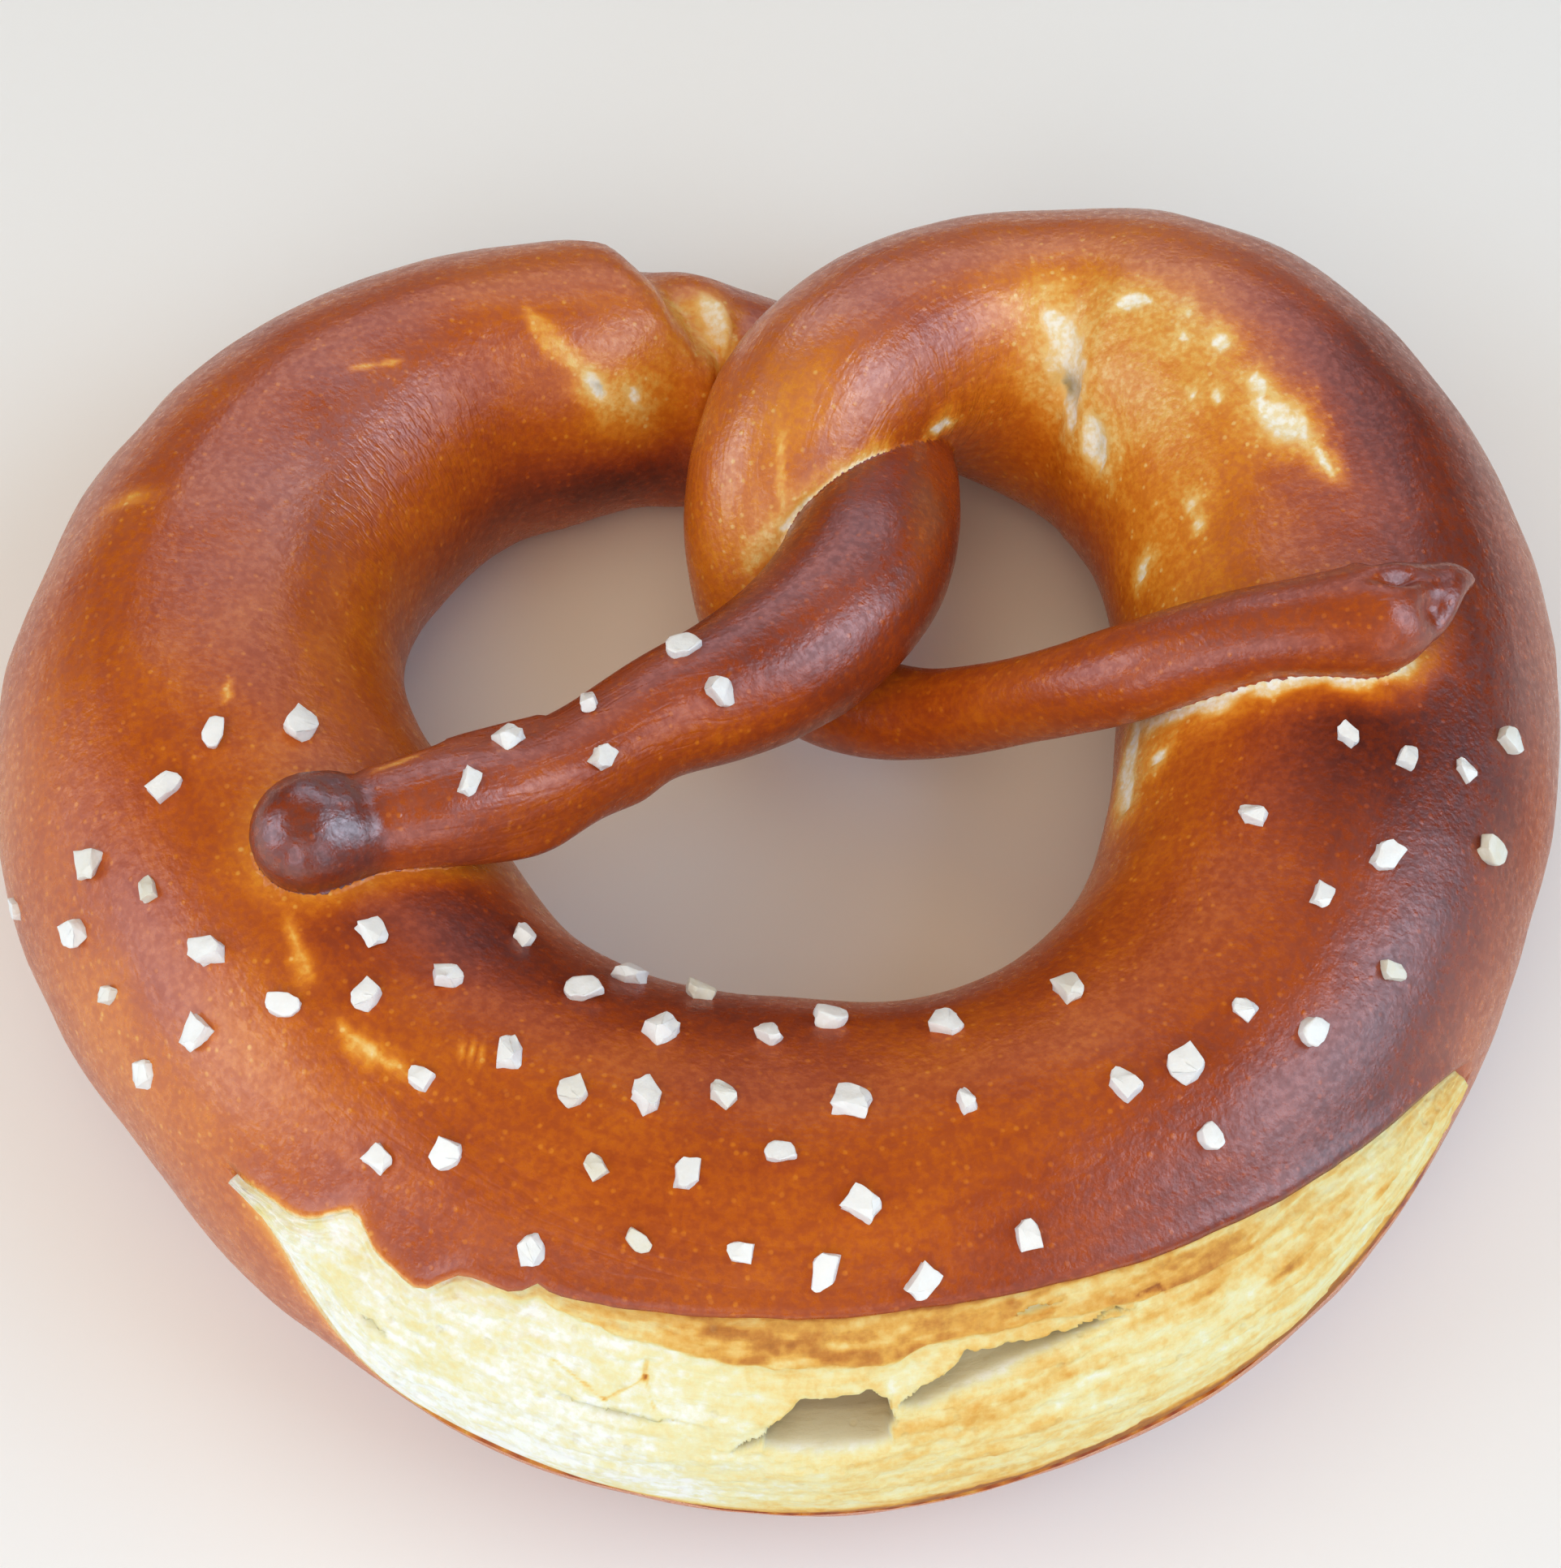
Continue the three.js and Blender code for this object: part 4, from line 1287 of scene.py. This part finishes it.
def make_salt():
    kinds = [add_crystal(seed) for seed in range(CRYSTAL_KINDS)]
    grains = []
    for number, (point, half_sizes, turn, facing) in enumerate(salt_places()):
        kind = kinds[number % CRYSTAL_KINDS]
        grain = bpy.data.objects.new("grain", kind.data.copy())
        bpy.context.scene.collection.objects.link(grain)
        tint = grain.data.attributes.new("grain", "FLOAT", "POINT")
        tint.data.foreach_set("value", np.full(len(grain.data.vertices), number / TINTS % 1, np.float32))
        upright = Matrix.Rotation(turn, 4, "Z") @ Matrix.Diagonal((*half_sizes, 1))
        lean = Vector(UP).rotation_difference(Vector(facing)).to_matrix().to_4x4()
        middle = Vector(point + facing * half_sizes[2] * SALT_SHOWING)
        grain.data.transform(Matrix.Translation(middle) @ lean @ upright)
        grains.append(grain)
    deselect()
    for kind in kinds:
        bpy.data.objects.remove(kind)
    for grain in grains:
        grain.select_set(True)
    bpy.context.view_layer.objects.active = grains[0]
    bpy.ops.object.join()
    salt = bpy.context.object
    salt.name = salt.data.name = "salt"
    finish_piece(salt)
    bpy.ops.object.shade_smooth_by_angle(angle=math.radians(35))
    return salt


# ---- Materials ----


class Nodes:
    """Adds nodes to a material's or a group's tree: a socket is set to a value or linked to another one."""

    def __init__(self, tree):
        self.tree = tree

    def add(self, kind, inputs=None, **settings):
        made = self.tree.nodes.new("ShaderNode" + kind)
        for name, value in settings.items():
            setattr(made, name, value)
        for name, value in (inputs or {}).items():
            self.set(made.inputs[name], value)
        return made

    def set(self, socket, value):
        if isinstance(value, bpy.types.NodeSocket):
            self.tree.links.new(value, socket)
        else:
            socket.default_value = value

    def attribute(self, name):
        return self.add("Attribute", attribute_name=name).outputs["Fac"]

    def math(self, operation, *values, clamp=False):
        made = self.add("Math", operation=operation, use_clamp=clamp)
        for socket, value in zip(made.inputs, values):
            self.set(socket, value)
        return made.outputs[0]

    def blend(self, share, first, second):
        made = self.add("Mix", data_type="RGBA")
        self.set(made.inputs[0], share)
        self.set(made.inputs[6], first)
        self.set(made.inputs[7], second)
        return made.outputs[2]

    def ramp(self, value, stops):
        made = self.add("ValToRGB", {"Fac": value})
        elements = made.color_ramp.elements
        while len(elements) < len(stops):
            elements.new(0.5)
        for element, (position, colour) in zip(elements, stops):
            element.position = position
            element.color = (*colour, 1)
        return made.outputs["Color"]

    def span(self, value, low, high, to_low=0, to_high=1):
        made = self.add("MapRange", {"Value": value}, interpolation_type="SMOOTHSTEP")
        made.inputs["From Min"].default_value = low
        made.inputs["From Max"].default_value = high
        made.inputs["To Min"].default_value = to_low
        made.inputs["To Max"].default_value = to_high
        return made.outputs[0]

    def places(self):
        """Each point's own place in the piece, in metres."""
        return self.add("TexCoord").outputs["Object"]

    def rope_map(self, along, around):
        """The place along the rope and round it, scaled. A small scale draws an effect out that way."""
        rope = self.add("UVMap", uv_map="rope").outputs["UV"]
        return self.add("Mapping", {"Vector": rope, "Scale": (along, around, 1.0)}).outputs[0]

    def clouds(self, vector, scale, detail, roughness=0.5):
        sockets = {"Vector": vector, "Scale": scale, "Detail": detail, "Roughness": roughness}
        return self.add("TexNoise", sockets).outputs[0]


def new_group(name, numbers, result):
    """An empty shared effect, which takes a vector and some numbers and gives one number."""
    tree = bpy.data.node_groups.new(name, "ShaderNodeTree")
    tree.interface.new_socket("Vector", in_out="INPUT", socket_type="NodeSocketVector")
    for socket, value in numbers.items():
        made = tree.interface.new_socket(socket, in_out="INPUT", socket_type="NodeSocketFloat")
        made.default_value = value
    tree.interface.new_socket(result, in_out="OUTPUT", socket_type="NodeSocketFloat")
    given = tree.nodes.new("NodeGroupInput").outputs
    return Nodes(tree), given, tree.nodes.new("NodeGroupOutput").inputs[result]


def make_speckle_group():
    """Small dots at random places: a mask, for flecks of colour and pits."""
    nodes, given, result = new_group("speckle", {"Dots per metre": 1000, "Cover": 0.3}, "Mask")
    cells = nodes.add("TexVoronoi", {"Vector": given["Vector"], "Scale": given["Dots per metre"]})
    dot = nodes.span(cells.outputs["Distance"], 0.32, 0.12)
    chosen = nodes.add("SeparateColor", {"Color": cells.outputs["Color"]}).outputs[0]
    kept = nodes.math("LESS_THAN", chosen, given["Cover"])
    nodes.set(result, nodes.math("MULTIPLY", dot, kept))
    return nodes.tree


def make_mottle_group():
    """Cloudy variation, from 0 to 1."""
    nodes, given, result = new_group("mottle", {"Clouds per metre": 100, "Detail": 4}, "Value")
    clouds = nodes.clouds(given["Vector"], given["Clouds per metre"], given["Detail"], 0.6)
    nodes.set(result, nodes.span(clouds, 0.3, 0.7))
    return nodes.tree


def make_skin_group():
    """The fine pebbled relief of a baked surface, as a height in millimetres."""
    nodes, given, result = new_group("skin", {"Pebbles per metre": 1500, "Depth": 0.1}, "Height")
    pebbles = nodes.clouds(given["Vector"], given["Pebbles per metre"], 3.0)
    wider = nodes.math("MULTIPLY", given["Pebbles per metre"], 0.3)
    swells = nodes.clouds(given["Vector"], wider, 1.0)
    height = nodes.math("ADD", swells, pebbles)
    nodes.set(result, nodes.math("MULTIPLY", height, given["Depth"]))
    return nodes.tree


def make_crease_group():
    """Fine broken creases in a skin, as a height in millimetres. They run across the way in which the vector
    is stretched."""
    nodes, given, result = new_group("creases", {"Creases per metre": 500, "Depth": 0.1}, "Height")
    folds = nodes.clouds(given["Vector"], given["Creases per metre"], 2.0)
    from_middle = nodes.math("ABSOLUTE", nodes.math("SUBTRACT", folds, 0.5))
    side = nodes.span(from_middle, 0.0, 0.09, -1, 0)
    nodes.set(result, nodes.math("MULTIPLY", side, given["Depth"]))
    return nodes.tree


SPECKLE = make_speckle_group()
MOTTLE = make_mottle_group()
SKIN = make_skin_group()
CREASES = make_crease_group()


def new_material(name):
    material = bpy.data.materials.new(name)
    material.use_nodes = True
    nodes = Nodes(material.node_tree)
    return material, nodes, material.node_tree.nodes["Principled BSDF"]


def place(nodes, group, inputs):
    """Places a shared effect in a material."""
    made = nodes.tree.nodes.new("ShaderNodeGroup")
    made.node_tree = group
    for name, value in inputs.items():
        nodes.set(made.inputs[name], value)
    return made.outputs[0]


def raise_relief(nodes, shader, height):
    """Gives a material its fine relief, from a height in millimetres."""
    bump = nodes.add("Bump", {"Height": height, "Strength": 1.0, "Distance": MM})
    nodes.set(shader.inputs["Normal"], bump.outputs[0])


# The crust's colours, from where it stayed pale to where it baked darkest.
CRUST_SHADES = [
    (0.0, (0.9, 0.6, 0.2)),
    (0.1, (0.83, 0.4, 0.07)),
    (0.2, (0.76, 0.26, 0.022)),
    (0.3, (0.66, 0.18, 0.012)),
    (0.4, (0.56, 0.128, 0.009)),
    (0.5, (0.47, 0.09, 0.008)),
    (0.6, (0.38, 0.062, 0.008)),
    (0.7, (0.3, 0.045, 0.008)),
    (0.8, (0.22, 0.032, 0.008)),
    (0.9, (0.15, 0.022, 0.008)),
    (1.0, (0.08, 0.013, 0.008)),
]


def crust_material():
    material, nodes, shader = new_material("baked crust")
    places = nodes.places()
    along, around = nodes.rope_map(0.2, 1.0), nodes.rope_map(1.0, 0.35)
    mottle = place(nodes, MOTTLE, {"Vector": places, "Clouds per metre": 160.0, "Detail": 5.0})
    streaks = place(nodes, MOTTLE, {"Vector": along, "Clouds per metre": 600.0, "Detail": 4.0})
    fine = place(nodes, MOTTLE, {"Vector": places, "Clouds per metre": 1300.0, "Detail": 2.0})
    shade = nodes.math("MULTIPLY_ADD", mottle, 0.07, nodes.attribute("shade"))
    shade = nodes.math("MULTIPLY_ADD", streaks, 0.06, shade)
    shade = nodes.math("MULTIPLY_ADD", fine, 0.12, shade)
    shade = nodes.math("SUBTRACT", shade, 0.13)
    ragged = nodes.math("MULTIPLY_ADD", fine, 0.12, -0.06)
    torn = nodes.math("MULTIPLY_ADD", mottle, 0.1, nodes.attribute("torn"))
    torn = nodes.math("ADD", torn, ragged)
    shade = nodes.math("MULTIPLY", shade, nodes.span(torn, 0.1, 0.5, 1, 0))
    skin_colour = nodes.ramp(shade, CRUST_SHADES)
    flecks = place(nodes, SPECKLE, {"Vector": places, "Dots per metre": 1000.0, "Cover": 0.35})
    lighter = nodes.ramp(nodes.math("SUBTRACT", shade, 0.2), CRUST_SHADES)
    skin_colour = nodes.blend(nodes.math("MULTIPLY", flecks, 0.7), skin_colour, lighter)
    torn_mask = nodes.span(torn, 0.32, 0.72)
    crumb_colour = nodes.blend(fine, (0.89, 0.74, 0.42, 1), (0.96, 0.94, 0.84, 1))
    # Painted shade: the holes in the tears are darkened.
    crumb_colour = nodes.blend(nodes.attribute("hole_shadow"), crumb_colour, (0.3, 0.25, 0.14, 1))
    colour = nodes.blend(torn_mask, skin_colour, crumb_colour)
    nodes.set(shader.inputs["Base Color"], colour)
    satin = nodes.math("MULTIPLY_ADD", fine, 0.16, 0.24)
    nodes.set(shader.inputs["Roughness"], nodes.math("MULTIPLY_ADD", torn_mask, 0.4, satin, clamp=True))
    shine = nodes.span(nodes.attribute("torn"), 0.32, 0.72, 0.48, 0.15)
    shader.inputs["Specular IOR Level"].default_value = 0.48
    nodes.set(shader.inputs["Specular IOR Level"], nodes.math("MULTIPLY", nodes.attribute("gloss"), shine))
    shader.inputs["IOR"].default_value = 1.8
    height = place(nodes, SKIN, {"Vector": places, "Pebbles per metre": 2400.0, "Depth": 0.055})
    wrinkles = place(nodes, CREASES, {"Vector": around, "Creases per metre": 700.0, "Depth": 0.04})
    wrinkles = nodes.math("MULTIPLY", wrinkles, nodes.attribute("wrinkled"))
    depth = nodes.math("MULTIPLY_ADD", nodes.attribute("stretched"), 0.02, 0.005)
    stretch = place(nodes, CREASES, {"Vector": along, "Creases per metre": 600.0, "Depth": depth})
    height = nodes.math("ADD", height, nodes.math("ADD", wrinkles, stretch))
    height = nodes.math("MULTIPLY_ADD", flecks, 0.012, height)
    raise_relief(nodes, shader, height)
    return material


# The crumb's colours, from fresh to browned.
CRUMB_SHADES = [
    (0.0, (0.92, 0.92, 0.86)),
    (0.08, (0.86, 0.84, 0.66)),
    (0.17, (0.84, 0.78, 0.46)),
    (0.3, (0.84, 0.7, 0.32)),
    (0.45, (0.82, 0.55, 0.17)),
    (0.6, (0.75, 0.4, 0.08)),
    (0.8, (0.55, 0.22, 0.04)),
    (1.0, (0.36, 0.12, 0.025)),
]
# Painted shadow in the pockets torn into the crumb: its colours from their edge to their deepest.
POCKET_SHADOW_COLOURS = [
    (0.0, (0.74, 0.66, 0.4)),
    (0.45, (0.52, 0.43, 0.26)),
    (0.8, (0.44, 0.34, 0.19)),
    (0.95, (0.16, 0.09, 0.035)),
]


def crumb_material():
    material, nodes, shader = new_material("open crumb")
    places = nodes.places()
    along = nodes.rope_map(0.3, 1.0)
    fibres = place(nodes, MOTTLE, {"Vector": along, "Clouds per metre": 700.0, "Detail": 5.0})
    mottle = place(nodes, MOTTLE, {"Vector": places, "Clouds per metre": 330.0, "Detail": 4.0})
    grainy = place(nodes, MOTTLE, {"Vector": places, "Clouds per metre": 1300.0, "Detail": 3.0})
    brown = nodes.math("MULTIPLY_ADD", fibres, 0.12, nodes.attribute("brown"))
    brown = nodes.math("MULTIPLY_ADD", mottle, 0.1, brown)
    brown = nodes.math("MULTIPLY_ADD", grainy, 0.11, brown)
    brown = nodes.math("SUBTRACT", brown, 0.15)
    pores = place(nodes, SPECKLE, {"Vector": places, "Dots per metre": 700.0, "Cover": 0.18})
    colour = nodes.ramp(brown, CRUMB_SHADES)
    hole_shadow = nodes.ramp(nodes.attribute("pocket_shadow"), POCKET_SHADOW_COLOURS)
    # Painted shadow: deep in a pocket the crumb's colour gives way to darker colours.
    colour = nodes.blend(nodes.span(nodes.attribute("pocket_shadow"), 0.05, 0.4), colour, hole_shadow)
    colour = nodes.blend(nodes.math("MULTIPLY", pores, 0.16), colour, (0.62, 0.45, 0.2, 1))
    nodes.set(shader.inputs["Base Color"], colour)
    shader.inputs["Roughness"].default_value = 0.75
    shader.inputs["Specular IOR Level"].default_value = 0.3
    shader.inputs["Subsurface Weight"].default_value = 0.15
    shader.inputs["Subsurface Radius"].default_value = (1.0, 0.6, 0.3)
    shader.inputs["Subsurface Scale"].default_value = 0.0015
    skin = place(nodes, SKIN, {"Vector": places, "Pebbles per metre": 1100.0, "Depth": 0.12})
    height = nodes.math("MULTIPLY_ADD", fibres, 0.1, skin)
    height = nodes.math("MULTIPLY_ADD", pores, -0.08, height)
    raise_relief(nodes, shader, height)
    return material


# The colours that single grains of salt take.
SALT_SHADES = [
    (0.0, (0.93, 0.93, 0.91)),
    (0.7, (0.9, 0.9, 0.88)),
    (0.95, (0.72, 0.66, 0.5)),
]


def salt_material():
    material, nodes, shader = new_material("coarse salt")
    places = nodes.places()
    mottle = place(nodes, MOTTLE, {"Vector": places, "Clouds per metre": 900.0, "Detail": 3.0})
    tint = nodes.ramp(nodes.attribute("grain"), SALT_SHADES)
    colour = nodes.blend(nodes.math("MULTIPLY", mottle, 0.35), tint, (0.8, 0.82, 0.82, 1))
    nodes.set(shader.inputs["Base Color"], colour)
    shader.inputs["Roughness"].default_value = 0.42
    shader.inputs["Subsurface Weight"].default_value = 0.3
    shader.inputs["Subsurface Radius"].default_value = (1.0, 0.9, 0.8)
    shader.inputs["Subsurface Scale"].default_value = 0.001
    skin = place(nodes, SKIN, {"Vector": places, "Pebbles per metre": 2600.0, "Depth": 0.04})
    raise_relief(nodes, shader, skin)
    return material


# ---- Setting: floor, light and camera ----

AIM = Vector((-0.1, 2.5, 17)) * MM
CAMERA_ELEVATION = math.radians(60)
CAMERA_DISTANCE = 300 * MM
CAMERA_LENS, CAMERA_SENSOR = 71.78, 36  # millimetres
FLOOR_SIZE = 3
FLOOR_GAP = 0.0002  # the floor lies this far under the part, so that the two faces stay apart


def aim_at(thing, point):
    thing.rotation_euler = (point - thing.location).to_track_quat("-Z", "Y").to_euler()


def add_camera():
    camera = bpy.data.objects.new("camera", bpy.data.cameras.new("camera"))
    bpy.context.scene.collection.objects.link(camera)
    away = Vector((0, -math.cos(CAMERA_ELEVATION), math.sin(CAMERA_ELEVATION)))
    camera.location = AIM + away * CAMERA_DISTANCE
    aim_at(camera, AIM)
    camera.data.lens = CAMERA_LENS
    camera.data.sensor_width = CAMERA_SENSOR
    camera.data.sensor_fit = "HORIZONTAL"
    camera.data.clip_start = 0.01
    bpy.context.scene.camera = camera


def add_floor():
    deselect()
    bpy.ops.mesh.primitive_plane_add(size=FLOOR_SIZE, location=(0, 0, -FLOOR_GAP))
    floor = bpy.context.object
    floor.name = "floor"
    material, _, shader = new_material("pale floor")
    shader.inputs["Base Color"].default_value = (0.9, 0.9, 0.9, 1)
    shader.inputs["Roughness"].default_value = 0.9
    floor.data.materials.append(material)


WINDOW_LIGHT = (0.56, 0.78, 1.0)
LAMP_LIGHT = (1.0, 0.76, 0.5)
ROOM_LIGHT, ROOM_STRENGTH = (1.0, 0.88, 0.72, 1), 0.25
# Soft lights round the pretzel: name, compass angle from +Y towards +X, elevation, distance and size in
# metres, watts, colour, whether glossy surfaces mirror it and whether it lights matt ones.
LIGHTS = [
    ("window on the right", 100, 33, 0.8, (0.58, 0.75), 3.8, WINDOW_LIGHT, True, True),
    ("window on the left", -98, 25, 0.8, (0.62, 0.55), 2.7, WINDOW_LIGHT, True, True),
    ("window in front, left", -156, 24, 0.8, (0.34, 0.62), 1.3, WINDOW_LIGHT, True, True),
    ("window in front, right", 155, 26, 0.8, (0.34, 0.62), 1.1, WINDOW_LIGHT, True, True),
    ("shine from behind", 8, 36, 0.8, (0.9, 0.45), 1.9, WINDOW_LIGHT, True, False),
    ("shine from the right", 95, 42, 0.8, (0.35, 0.45), 1.0, WINDOW_LIGHT, True, False),
    ("lamp in front", -165, 50, 0.9, (0.7, 0.7), 2.6, LAMP_LIGHT, False, True),
    ("lamp above", -60, 80, 0.9, (0.8, 0.8), 2.0, LAMP_LIGHT, False, True),
]


def add_lights():
    for name, compass, elevation, distance, (width, height), watts, colour, mirrored, lighting in LIGHTS:
        lamp = bpy.data.lights.new(name, "AREA")
        lamp.shape = "RECTANGLE"
        lamp.size, lamp.size_y = width, height
        lamp.energy = watts
        lamp.color = colour
        light = bpy.data.objects.new(name, lamp)
        bpy.context.scene.collection.objects.link(light)
        turn, lift = math.radians(compass), math.radians(elevation)
        way = Vector((math.sin(turn) * math.cos(lift), math.cos(turn) * math.cos(lift), math.sin(lift)))
        light.location = AIM + way * distance
        light.visible_glossy = mirrored
        light.visible_diffuse = lighting
        aim_at(light, AIM)


def add_room():
    """Faint warm light from all sides, which glossy surfaces don't mirror."""
    world = bpy.data.worlds.new("room")
    bpy.context.scene.world = world
    world.use_nodes = True
    world.cycles_visibility.glossy = False
    background = world.node_tree.nodes["Background"]
    background.inputs["Color"].default_value = ROOM_LIGHT
    background.inputs["Strength"].default_value = ROOM_STRENGTH


# ---- The object ----

add_camera()
add_lights()
add_room()
add_floor()
bpy.context.scene.view_settings.view_transform = "Standard"

for make, finish, slot in (
    (make_crust, crust_material, "crust"),
    (make_crumb, crumb_material, "crumb"),
    (make_salt, salt_material, "salt"),
):
    piece = make()
    piece.data.materials.clear()
    piece.data.materials.append(finish())
    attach(piece, "root")
    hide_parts("pretzel")
    print(piece.name, "triangles", sum(len(face.vertices) - 2 for face in piece.data.polygons))
